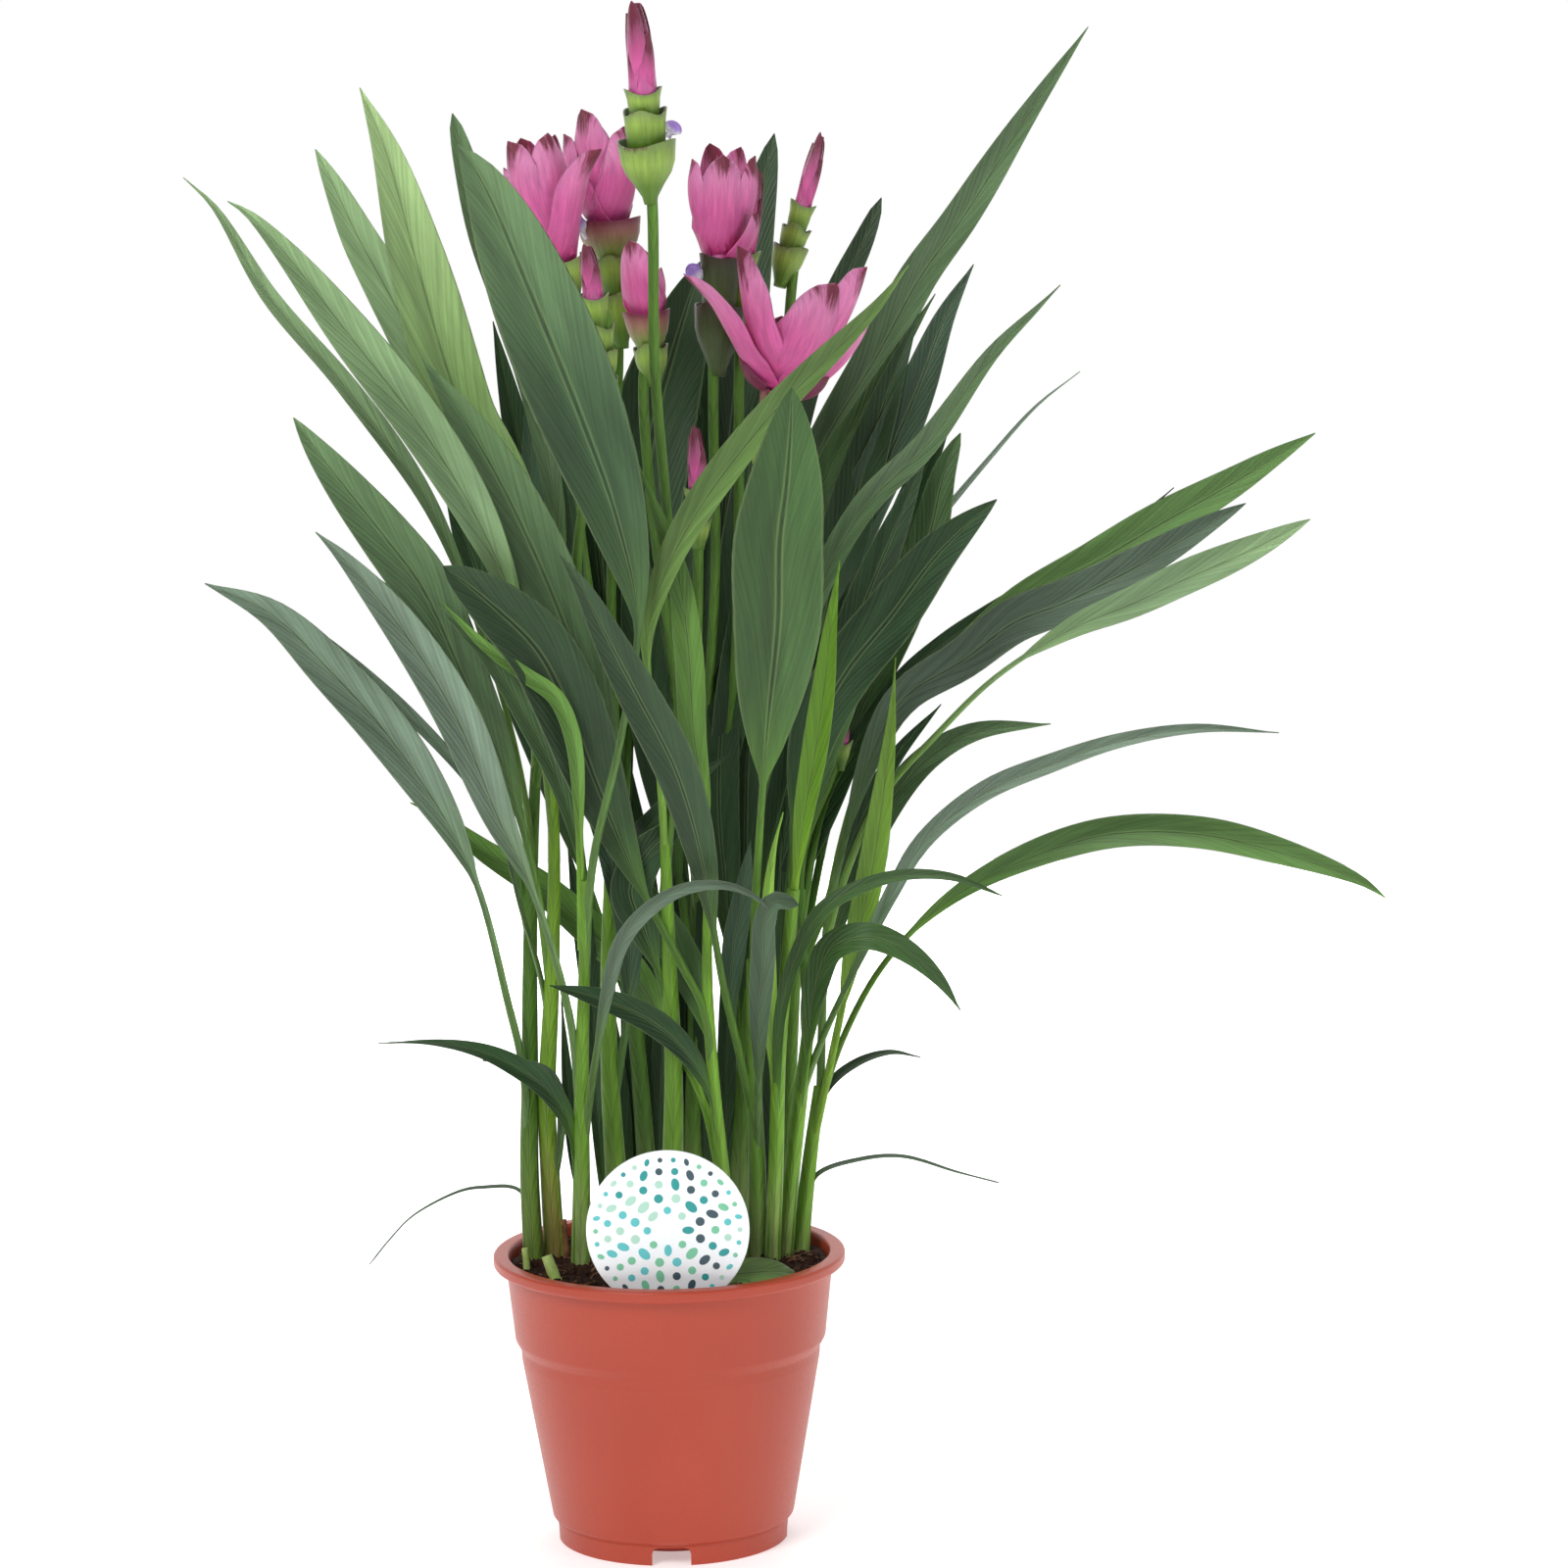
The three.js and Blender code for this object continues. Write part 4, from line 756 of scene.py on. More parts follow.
# Each leaf: its green, how far to the front its tip is, width, the share that is stalk, where the
# blade is widest, how its face is turned at the foot and at the tip, its fold, and its midrib.
SHOOTS = [{
    "name": "shoot_far_left", "ahead": (0.3, -0.35), "radii": (4.6, 2.2), "stem_colour": "dark",
    "foot": (120, 140, 60),
    "stem": [(-58, 118), (-59, 160), (-58, 200), (-57, 250), (-55, 300), (-52, 345)],
    "leaves": [
        ("silver", -0.1, 14, 0.34, 0.5, 50, 40, 14, [(-55, 290), (-57, 315), (-65, 357), (-81, 410),
            (-98, 449), (-129, 494), (-160, 532), (-182, 570), (-194, 582)]),
        ("frost", 0.15, 24, 0.42, 0.5, 15, 15, 20, [(-59, 165), (-61, 205), (-67, 234), (-78, 281),
            (-90, 309), (-115, 348), (-139, 376), (-163, 400), (-190, 413)]),
        ("silver", -0.6, 23, 0.3, 0.56, 15, 10, 14, [(-53, 330), (-54, 372), (-66, 420), (-84, 470),
            (-100, 512), (-112, 537), (-122, 556), (-131, 576), (-139, 593)]),
        ("grey", -0.35, 2.6, 0.1, 0.4, 60, 60, 5, [(-58, 135), (-63, 151), (-79, 153), (-90, 151),
            (-109, 141), (-119, 131), (-128, 120)]),
        ("soft", -0.5, 17, 0.3, 0.66, 10, 0, 16, [(-54, 320), (-41, 400), (-46, 470), (-57, 518),
            (-70, 557), (-77, 586), (-82, 607)]),
        ("blue", -0.5, 16, 0.3, 0.55, 10, 10, 14, [(-57, 260), (-68, 320), (-85, 365), (-104, 395),
            (-124, 419)]),
        ("soft", -0.3, 8, 0.3, 0.5, 20, 20, 12, [(-56, 300), (-74, 362), (-96, 402), (-113, 420),
            (-129, 436)]),
    ],
}, {
    "name": "shoot_left", "ahead": (0.1, 0.1), "radii": (4.8, 2.2), "stem_colour": "yellow",
    "foot": (158, 108, 82),
    "stem": [(-49, 118), (-50, 150), (-51, 190), (-48, 240), (-46, 290), (-46, 330)],
    "leaves": [
        ("silver", 0.25, 24, 0.3, 0.5, 10, 20, 20, [(-46, 300), (-50, 345), (-60, 400), (-76, 440),
            (-98, 477), (-127, 516), (-155, 553), (-168, 567), (-176, 572)]),
        ("bright", -0.2, 31, 0.28, 0.5, 8, 12, 18, [(-46, 325), (-47, 400), (-56, 440), (-67, 461),
            (-79, 480), (-87, 503), (-99, 549), (-110, 592), (-120, 618)]),
        ("soft", 0.3, 27, 0.3, 0.55, 12, 10, 16, [(-48, 230), (-54, 285), (-67, 335), (-81, 368),
            (-99, 410), (-113, 430), (-129, 451), (-143, 470), (-151, 482)]),
        ("frost", 0.05, 11, 0.3, 0.6, 65, 50, 10, [(-49, 220), (-53, 245), (-61, 275), (-68, 305),
            (-80, 326), (-92, 341), (-108, 358), (-130, 379), (-152, 399)]),
        ("grey", 0.3, 6, 0.3, 0.5, 10, 10, 10, [(-50, 150), (-46, 170), (-45, 190), (-50, 202), (-62, 207),
            (-78, 208)]),
    ],
}, {
    "name": "shoot_front_left", "ahead": (0.45, 0.45), "radii": (4.4, 1.9), "stem_colour": "fresh",
    "stem": [(-38, 118), (-37, 150), (-36, 200), (-34, 250), (-33, 285)],
    "leaves": [
        ("slate", 0.95, 9, 0.3, 0.5, 20, 30, 12, [(-36, 165), (-33, 190), (-29, 214), (-24, 240),
            (-18, 259), (-7, 272), (9, 281), (27, 282), (40, 276), (48, 267)]),
        ("front", 0.6, 42, 0.44, 0.56, 8, 5, 20, [(-34, 235), (-30, 290), (-17, 345), (-9, 395), (-17, 438),
            (-31, 480), (-51, 532), (-70, 578), (-80, 594)]),
        ("frost", 0.5, 22, 0.38, 0.5, 12, 20, 18, [(-37, 180), (-40, 222), (-49, 261), (-57, 285),
            (-68, 309), (-86, 355), (-107, 391), (-132, 423), (-143, 434)]),
        ("dark", 0.6, 12, 0.2, 0.35, 20, 50, 14, [(-38, 150), (-42, 180), (-52, 196), (-70, 208),
            (-83, 213), (-101, 216), (-122, 216)]),
        ("soft", 0.35, 14, 0.34, 0.55, 30, 35, 16, [(-34, 225), (-33, 270), (-36, 300), (-44, 328),
            (-56, 353), (-72, 380), (-92, 402)]),
        ("fresh", 0.42, 9, 0.3, 0.5, 10, 0, 16, [(-35, 255), (-35, 300), (-37, 345), (-44, 363), (-57, 373),
            (-74, 386), (-91, 404)]),
    ],
}, {
    "name": "shoot_middle_left", "ahead": (0.02, 0.02), "radii": (5.6, 2.2), "stem_colour": "fresh",
    "stem": [(-22, 118), (-22, 150), (-24, 200), (-24, 250), (-22, 300)],
    "leaves": [
        ("soft", 0.12, 29, 0.3, 0.5, 5, 10, 16, [(-24, 240), (-19, 320), (-29, 362), (-41, 397), (-53, 427),
            (-66, 455), (-80, 480), (-97, 506)]),
        ("blue", 0.3, 13, 0.25, 0.5, 10, 10, 14, [(-22, 190), (-15, 240), (-16, 270), (-20, 285),
            (-25, 302), (-31, 315), (-38, 324)]),
        ("dark", -0.1, 8, 0.3, 0.5, 20, 30, 10, [(-23, 280), (-27, 340), (-33, 390), (-35, 430), (-40, 465),
            (-46, 488)]),
        ("dark", 0.2, 12, 0.2, 0.5, -20, -15, 12, [(-24, 245), (-16, 297), (-8, 305), (5, 318), (18, 330),
            (29, 338)]),
        ("dark", -0.45, 8, 0.1, 0.4, 0, 0, 8, [(-25, 122), (-29, 180), (-31, 240), (-34, 290), (-40, 330)]),
        ("dark", -0.3, 8, 0.15, 0.4, 0, 0, 10, [(-31, 122), (-38, 160), (-42, 200), (-44, 235)]),
    ],
    "stalks": [
        ("flower_left_bud", -0.05, [(-22, 280), (-30, 360), (-34, 420), (-27, 460), (-19, 495),
            (-22, 527)]),
    ],
}, {
    "name": "shoot_back_left", "ahead": (-0.8, -0.8), "radii": (5, 2.2), "stem_colour": "dark",
    "stem": [(-8, 118), (-9, 160), (-12, 210), (-16, 260), (-18, 300)],
    "leaves": [
        ("dark", -0.75, 18, 0.3, 0.5, 10, 10, 14, [(-17, 280), (-30, 360), (-46, 420), (-57, 470),
            (-62, 495), (-67, 521)]),
        ("dark", -0.8, 14, 0.3, 0.5, 10, 10, 14, [(-15, 250), (-40, 370), (-66, 430), (-84, 470),
            (-98, 502), (-109, 530)]),
        ("dark", -0.9, 41, 0.28, 0.56, -4, 0, 16, [(-17, 290), (-13, 360), (-8, 430), (0, 480), (8, 508),
            (20, 545)]),
        ("dark", -0.7, 22, 0.25, 0.5, 10, 10, 14, [(-15, 230), (-34, 290), (-52, 350), (-72, 405),
            (-90, 462)]),
        ("dark", -1.0, 22, 0.28, 0.6, 0, 0, 12, [(-16, 290), (-14, 360), (-9, 430), (-3, 475), (2, 512)]),
        ("dark", -1.15, 24, 0.3, 0.5, 160, 160, 14, [(-13, 220), (-20, 330), (-34, 410), (-48, 455),
            (-60, 470)]),
        ("dark", -0.85, 17, 0.3, 0.5, 0, 0, 14, [(-14, 250), (-22, 320), (-30, 380), (-38, 430),
            (-44, 462)]),
        ("blue", -0.7, 15, 0.3, 0.5, 10, 10, 12, [(-16, 270), (-34, 340), (-48, 400), (-52, 450),
            (-54, 492)]),
        ("dark", -0.9, 20, 0.25, 0.5, -10, -10, 14, [(-17, 280), (-14, 340), (-10, 400), (-14, 450),
            (-21, 500)]),
        ("dark", -0.9, 10, 0.05, 0.4, 0, 0, 8, [(-6, 122), (-3, 180), (0, 240), (2, 300), (4, 350)]),
        ("dark", -1.1, 22, 0.12, 0.45, 0, 0, 14, [(-11, 124), (-11, 180), (-9, 235), (-10, 290),
            (-14, 340)]),
        ("dark", -0.95, 15, 0.12, 0.5, 0, 0, 14, [(-16, 124), (-20, 180), (-30, 240), (-40, 300)]),
        ("dark", -1.0, 24, 0.2, 0.55, 0, 0, 14, [(-14, 250), (-18, 320), (-22, 380), (-26, 430),
            (-34, 475)]),
    ],
    "stalks": [
        ("flower_left", -0.45, [(-17, 280), (-26, 380), (-34, 450), (-36, 500), (-38, 530)]),
        ("flower_left_back", -0.65, [(-16, 270), (-20, 380), (-18, 460), (-15, 510), (-17, 545)]),
    ],
}, {
    "name": "shoot_middle", "ahead": (0.38, 0.38), "radii": (5.6, 2.2), "stem_colour": "fresh",
    "stem": [(3, 118), (2, 150), (3, 200), (2, 250), (1, 300)],
    "leaves": [
        ("light", 0.55, 17, 0.33, 0.5, -15, -30, 18, [(1, 280), (0, 320), (-3, 355), (-5, 388), (4, 417),
            (20, 445), (47, 479), (66, 498), (92, 524), (106, 542)]),
        ("dark", 0.33, 20, 0.2, 0.5, 10, 10, 14, [(2, 230), (-8, 262), (-14, 280), (-8, 295), (2, 305),
            (12, 314)]),
    ],
    "stalks": [
        ("flower_tall_bud", 0.3, [(1, 285), (8, 370), (4, 440), (0, 500), (0, 570)]),
    ],
}, {
    "name": "shoot_middle_right", "ahead": (0.75, 0.45), "radii": (3.4, 1.9), "stem_colour": "fresh",
    "stem": [(26, 118), (24, 150), (20, 197), (18, 240), (19, 285)],
    "leaves": [
        ("fresh", 0.48, 14, 0.25, 0.45, -5, 0, 14, [(19, 260), (19, 290), (18, 317), (14, 345), (12, 385),
            (8, 415), (0, 440), (-8, 462)]),
        ("dark", 0.62, 14, 0.25, 0.5, 25, 20, 16, [(22, 165), (19, 190), (8, 211), (-8, 225), (-28, 234),
            (-49, 240)]),
        ("deep", 0.35, 34, 0.36, 0.6, 12, 15, 18, [(21, 190), (16, 229), (7, 248), (-12, 287), (-26, 322),
            (-41, 363), (-52, 384), (-73, 405), (-90, 419)]),
        ("fresh", -0.55, 17, 0.25, 0.5, 15, 15, 14, [(23, 150), (15, 190), (0, 220), (-12, 243), (-32, 264),
            (-53, 283), (-74, 297), (-96, 314), (-106, 319)]),
        ("mid", 0.12, 18, 0.25, 0.5, 10, 10, 14, [(20, 190), (17, 222), (9, 247), (-4, 272), (-14, 292)]),
    ],
}, {
    "name": "shoot_front_right", "ahead": (0.3, 0.3), "radii": (4.6, 2.4), "stem_colour": "mid",
    "stem": [(37, 118), (38, 150), (37, 200), (37, 250)],
    "leaves": [
        ("mid", 0.85, 41, 0.42, 0.56, -4, -6, 16, [(37, 215), (38, 260), (41, 305), (45, 350), (50, 395),
            (51, 427), (54, 450), (56, 472), (57, 492)]),
        ("deep", 0.85, 21, 0.36, 0.52, 10, 12, 18, [(37, 180), (31, 210), (25, 237), (21, 262), (16, 295),
            (6, 331), (-10, 364), (-22, 388), (-32, 409), (-41, 423)]),
        ("blue", 0.15, 12, 0.3, 0.5, 10, 10, 12, [(37, 190), (28, 225), (29, 253), (33, 276), (37, 301)]),
        ("grey", 0.95, 13, 0.3, 0.72, -10, -10, 16, [(38, 160), (39, 195), (40, 225), (42, 252), (43, 267),
            (47, 275), (57, 273)]),
    ],
}, {
    "name": "shoot_inner_right", "ahead": (0.4, 0.4), "radii": (3.6, 2.6), "stem_colour": "fresh",
    "stem": [(44, 118), (46, 160), (48, 210), (52, 250), (55, 280)],
    "leaves": [
        ("yellow", 0.4, 13, 0.12, 0.45, -15, -5, 24, [(54, 270), (60, 312), (65, 339), (69, 366), (72, 392),
            (76, 419)]),
        ("lime", 0.55, 8, 0.1, 0.45, 0, 0, 20, [(46, 190), (44, 240), (44, 275), (47, 298), (51, 313)]),
        ("mid", 0.65, 10, 0.2, 0.6, -30, -50, 12, [(46, 150), (47, 190), (49, 226), (57, 253), (68, 271),
            (83, 280), (101, 285), (122, 284), (143, 276)]),
    ],
}, {
    "name": "shoot_outer_right", "ahead": (0.15, 0.15), "radii": (4.2, 2.4), "stem_colour": "fresh",
    "stem": [(49, 118), (53, 160), (58, 200), (63, 240)],
    "leaves": [
        ("frost", 0.35, 12, 0.2, 0.5, -40, -40, 14, [(57, 190), (65, 212), (81, 246), (96, 276), (111, 300),
            (136, 320), (165, 332), (193, 341), (226, 346), (260, 344)]),
        ("mid", 0.62, 15, 0.25, 0.5, -20, -20, 16, [(54, 170), (59, 205), (64, 238), (72, 255), (86, 259),
            (96, 256), (107, 249), (117, 239), (125, 227)]),
        ("dark", 0.05, 28, 0.3, 0.55, -10, -12, 18, [(60, 220), (58, 290), (63, 340), (77, 370), (97, 395),
            (116, 420), (128, 432), (142, 444)]),
        ("silver", -0.1, 19, 0.58, 0.55, -25, -25, 16, [(61, 225), (75, 280), (92, 318), (116, 345),
            (141, 369), (173, 389), (198, 399), (220, 409), (241, 418), (256, 425), (273, 434)]),
    ],
}, {
    "name": "shoot_far_right", "ahead": (0.05, -0.3), "radii": (4.2, 2.6), "stem_colour": "fresh",
    "stem": [(56, 122), (60, 160), (65, 195)],
    "leaves": [
        ("leafy", -0.1, 19, 0.3, 0.55, -45, -30, 14, [(63, 180), (75, 215), (92, 246), (115, 270),
            (143, 287), (186, 301), (226, 301), (263, 292), (295, 280), (305, 273)]),
        ("lime", 0.1, 14, 0.3, 0.4, -15, -10, 22, [(62, 170), (72, 215), (80, 252), (88, 286), (93, 318),
            (97, 350), (99, 378)]),
        ("dark", -0.35, 8, 0.15, 0.5, -60, -60, 12, [(62, 170), (68, 193), (80, 204), (95, 209),
            (108, 207)]),
        ("grey", -0.3, 4, 0.1, 0.5, -60, -60, 8, [(58, 140), (63, 156), (82, 163), (100, 164), (123, 157),
            (141, 152)]),
        ("slate", -0.45, 23, 0.34, 0.56, -20, -20, 16, [(65, 190), (70, 270), (90, 340), (103, 361),
            (127, 376), (149, 392), (170, 400), (193, 411), (213, 422), (230, 432), (246, 441)]),
        ("leafy", -0.7, 22, 0.54, 0.52, -20, -18, 14, [(65, 190), (72, 285), (100, 360), (145, 398),
            (183, 417), (211, 433), (240, 449), (258, 460), (275, 470)]),
        ("soft", -0.6, 16, 0.25, 0.5, -25, -25, 14, [(65, 190), (68, 240), (79, 282), (99, 320), (115, 337),
            (133, 346), (164, 349)]),
    ],
}, {
    "name": "shoot_back_right", "ahead": (-0.55, -0.55), "radii": (4.6, 2.4), "stem_colour": "mid",
    "stem": [(46, 122), (50, 170), (54, 230), (58, 280)],
    "leaves": [
        ("soft", -0.2, 15, 0.25, 0.5, -30, -30, 14, [(57, 270), (56, 340), (63, 395), (86, 440), (113, 467),
            (141, 505), (160, 524), (169, 533)]),
        ("frost", -0.95, 8, 0.3, 0.5, -60, -60, 8, [(57, 260), (70, 350), (90, 400), (112, 429), (139, 461),
            (159, 483), (177, 497)]),
        ("mid", -0.75, 21, 0.25, 0.6, -10, -10, 16, [(56, 250), (66, 310), (88, 365), (104, 402),
            (114, 430), (120, 455), (127, 472)]),
        ("dark", -0.65, 19, 0.25, 0.5, -5, -8, 16, [(57, 270), (62, 330), (78, 380), (92, 415), (104, 443),
            (113, 465)]),
        ("mid", -0.4, 20, 0.25, 0.5, -5, -5, 14, [(55, 250), (55, 290), (64, 330), (76, 365), (88, 395),
            (100, 418)]),
        ("dark", -0.45, 10, 0.25, 0.5, -5, -5, 12, [(55, 240), (70, 275), (82, 305), (98, 335),
            (118, 358)]),
        ("dark", -0.75, 10, 0.25, 0.5, -20, -20, 12, [(57, 260), (70, 320), (99, 366), (120, 384),
            (137, 395), (152, 404), (170, 414), (190, 426), (216, 448)]),
        ("dark", -0.5, 8, 0.05, 0.4, 0, 0, 8, [(45, 122), (44, 170), (46, 230), (50, 300)]),
        ("dark", -0.85, 25, 0.25, 0.5, -5, -5, 14, [(48, 230), (54, 290), (62, 350), (72, 405), (84, 450),
            (98, 492), (110, 522)]),
        ("dark", -1.0, 21, 0.25, 0.5, 0, 0, 14, [(56, 240), (68, 300), (83, 360), (97, 415), (111, 455),
            (127, 490)]),
    ],
    "stalks": [
        ("flower_low_bud", -0.55, [(56, 265), (60, 300), (70, 325), (76, 340)]),
    ],
}, {
    "name": "shoot_back_middle", "ahead": (-0.95, -0.95), "radii": (4.8, 2.4), "stem_colour": "mid",
    "stem": [(30, 122), (31, 170), (34, 230), (38, 290)],
    "leaves": [
        ("soft", -1.1, 22, 0.3, 0.5, -20, -30, 14, [(37, 280), (42, 350), (52, 410), (66, 460), (93, 505),
            (111, 537), (128, 560), (154, 600), (181, 639)]),
        ("deep", -1.2, 17, 0.3, 0.66, -15, -15, 14, [(37, 270), (44, 370), (52, 440), (62, 490), (76, 528),
            (88, 553), (95, 570)]),
        ("blue", -0.85, 24, 0.28, 0.5, -10, -15, 16, [(37, 280), (48, 340), (64, 385), (86, 440), (98, 465),
            (110, 492), (121, 520), (133, 542)]),
        ("dark", -0.95, 20, 0.28, 0.5, 170, 170, 14, [(35, 240), (46, 330), (60, 390), (70, 430)]),
        ("dark", -0.7, 20, 0.25, 0.5, -5, -5, 14, [(34, 230), (44, 290), (58, 340), (70, 380), (80, 410)]),
        ("dark", -0.8, 20, 0.25, 0.5, 0, 0, 14, [(32, 200), (28, 260), (24, 320), (28, 370), (34, 400)]),
        ("dark", -0.6, 16, 0.25, 0.5, -10, -10, 14, [(33, 220), (48, 270), (66, 310), (84, 345),
            (96, 362)]),
        ("mid", -0.9, 14, 0.3, 0.5, -10, -10, 14, [(38, 280), (50, 370), (62, 430), (74, 462), (88, 484),
            (103, 508), (117, 530)]),
        ("dark", -0.9, 9, 0.05, 0.4, 0, 0, 8, [(26, 122), (25, 180), (27, 240), (30, 300), (30, 340)]),
        ("dark", -1.1, 18, 0.12, 0.45, 0, 0, 14, [(33, 124), (32, 180), (33, 240), (38, 310)]),
        ("dark", -0.85, 20, 0.2, 0.5, 0, 0, 14, [(33, 190), (34, 250), (35, 300), (37, 345), (42, 385)]),
        ("dark", -0.7, 15, 0.15, 0.5, 0, 0, 12, [(38, 140), (44, 200), (49, 260), (51, 300), (56, 335)]),
    ],
    "stalks": [
        ("flower_right_bud", -0.75, [(37, 280), (52, 380), (56, 440), (55, 500), (57, 530)]),
        ("flower_open", -0.4, [(37, 275), (56, 360), (62, 420), (64, 455), (61, 478)]),
    ],
}, {
    "name": "shoot_back", "ahead": (-1, -1), "radii": (4.8, 2.4), "stem_colour": "mid",
    "stem": [(12, 122), (11, 170), (13, 230), (14, 290)],
    "leaves": [
        ("deep", -1.15, 26, 0.28, 0.6, -10, -10, 14, [(14, 280), (22, 390), (30, 460), (37, 520), (43, 560),
            (51, 597)]),
        ("dark", -0.95, 20, 0.25, 0.5, -5, -5, 14, [(14, 280), (8, 350), (6, 410), (11, 450), (20, 484)]),
        ("dark", -1.25, 22, 0.28, 0.5, 175, 175, 14, [(13, 240), (5, 330), (-6, 390), (-16, 430)]),
        ("dark", -0.9, 20, 0.28, 0.5, 0, 0, 14, [(14, 280), (26, 360), (34, 420), (40, 465), (44, 495)]),
        ("dark", -1.05, 22, 0.28, 0.6, 0, 0, 12, [(14, 280), (15, 380), (16, 440), (18, 485), (17, 516)]),
        ("dark", -0.8, 22, 0.25, 0.5, 0, 0, 14, [(13, 230), (6, 290), (-2, 340), (-8, 400), (-10, 450)]),
        ("dark", -0.75, 18, 0.25, 0.5, 0, 0, 14, [(14, 260), (24, 320), (32, 370), (38, 410), (42, 440)]),
        ("dark", -0.95, 10, 0.05, 0.4, 0, 0, 8, [(15, 122), (16, 180), (16, 240), (18, 300), (20, 350)]),
        ("dark", -1.1, 20, 0.12, 0.45, 0, 0, 14, [(8, 124), (7, 180), (9, 240), (5, 310)]),
    ],
    "stalks": [
        ("flower_middle", -0.5, [(14, 280), (20, 360), (24, 420), (24, 480), (25, 520), (27, 540)]),
        ("flower_middle_bud", -0.55, [(14, 275), (30, 360), (34, 440), (35, 500), (36, 525)]),
        ("flower_inner_bud", -0.35, [(14, 270), (14, 330), (16, 390), (17, 430), (17, 448)]),
        ("flower_middle_small", -0.5, [(14, 280), (6, 370), (-2, 440), (-5, 490), (-3, 515)]),
    ],
}]


def ahead_at(shoot, height):
    """How far to the front of the clump the stem of the shoot is at that height."""
    lowest, highest = shoot["stem"][0][1], shoot["stem"][-1][1]
    return float(np.interp(height, (lowest, highest), shoot["ahead"]))


def grow_leaf(strands, start_ahead, row, draw):
    kind, ahead, wide, stalk, widest, turn, tip_turn, fold, points = row
    spots = []
    for index, (across, height) in enumerate(points):
        moved = float(ease(min(1, index / (len(points) - 1) / 0.5), 0, 1))
        spots.append(seen(across, height, start_ahead + (ahead - start_ahead) * moved))
    path, ways, run = even_path(spots, 30 + len(points) * 3)
    share = np.linspace(0, 1, len(path))
    stalk_width = min(STALK_WIDTH, wide)
    width = stalk_width * (1 - share ** 2) + (wide - stalk_width) * lance(share, stalk, widest)
    width = np.maximum(width, 0.5 + 0.5 * (share < 0.98))
    opened = ease(share, 0, stalk + 0.08)
    thick = STALK_THICKNESS * (1 - opened) + BLADE_THICKNESS * opened
    tint = greens(kind, ease(share, stalk * 0.5, stalk + 0.2), ease(share, stalk + 0.2, 1))
    strands.add(
        path, ways, run, width / 2, np.minimum(thick, width), turn + (tip_turn - turn) * share,
        fold * np.minimum(1, share / max(stalk, 0.05)), tint, draw=draw)


def grow_stem(strands, spots, low, high, tint, count=STEM_POINTS):
    path, ways, run = even_path(spots, count)
    radius = np.linspace(low, high, count)
    strands.add(path, ways, run, radius, radius * 2, tint=tint, front=(0, -1, 0))


def grow_shoot(strands, shoot, draw):
    spots = [seen(across, height, ahead_at(shoot, height)) for across, height in shoot["stem"]]
    at_soil = spots[0].copy()
    at_soil[2] = SOIL_LEVEL
    root = at_soil - (0, 0, ROOT_DEPTH)
    low, high = shoot["radii"]
    pale = np.array(linear(*shoot.get("foot", (176, 190, 128))))
    full = greens(shoot["stem_colour"], np.zeros(STEM_POINTS))
    pale_share = (1 - ease(np.linspace(0, 1, STEM_POINTS), 0.08, 0.4))[:, None] * 0.6
    grow_stem(strands, [root, at_soil, *spots[1:]], low, high, pale * pale_share + full * (1 - pale_share))
    # Two outer sheaths clasp the foot of the stem, each narrowing to its end
    path, ways, run = even_path([at_soil - (0, 0, 4), *spots[1:]], SHEATH_POINTS)
    for number, (reaches, side_turn) in enumerate(((0.36, 55), (0.62, -50))):
        part = slice(0, int(SHEATH_POINTS * reaches))
        length = np.linspace(0, 1, len(path[part]))
        radius = np.linspace(low, low + (high - low) * reaches, len(length))
        front = np.array((math.sin(math.radians(side_turn)), -math.cos(math.radians(side_turn)), 0))
        half = radius * 1.2 * (1 - length ** 4) ** 0.7 + 0.3
        tint = greens(shoot["stem_colour"], 0.25 + 0.35 * length) * (1.05 - 0.2 * number)
        strands.add(
            path[part] + front * (radius * 0.52)[:, None], ways[part], run[part], half, 0.7, fold=-38,
            tint=tint, front=front, draw=draw)
    for number, row in enumerate(shoot["leaves"]):
        grow_leaf(strands, ahead_at(shoot, row[-1][0][1]), row, draw + number * 1.7)


def finished(name, strands, skin, node, slot, cup=2.0, wave=0.03, waves=260.0, points=20):
    """Grows the strands into a piece of that name, in place of the solid called node."""
    mesh = blade_tree.grown(
        name, strands.mesh(name), points_round=points, cup=cup, edge_wave=wave, waves_per_metre=waves,
        skin=skin)
    piece = new_object(name, facing_out(mesh))
    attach(piece, "root")
    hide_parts(node)


leaf_material = leaf_skin()
draws = np.random.default_rng(14)
for shoot in SHOOTS:
    strands = Strands()
    grow_shoot(strands, shoot, float(draws.uniform(0, 6)))
    finished(
        shoot["name"].capitalize(), strands, leaf_material, shoot["name"], "leaf", cup=1.15, wave=0.05,
        waves=70.0)


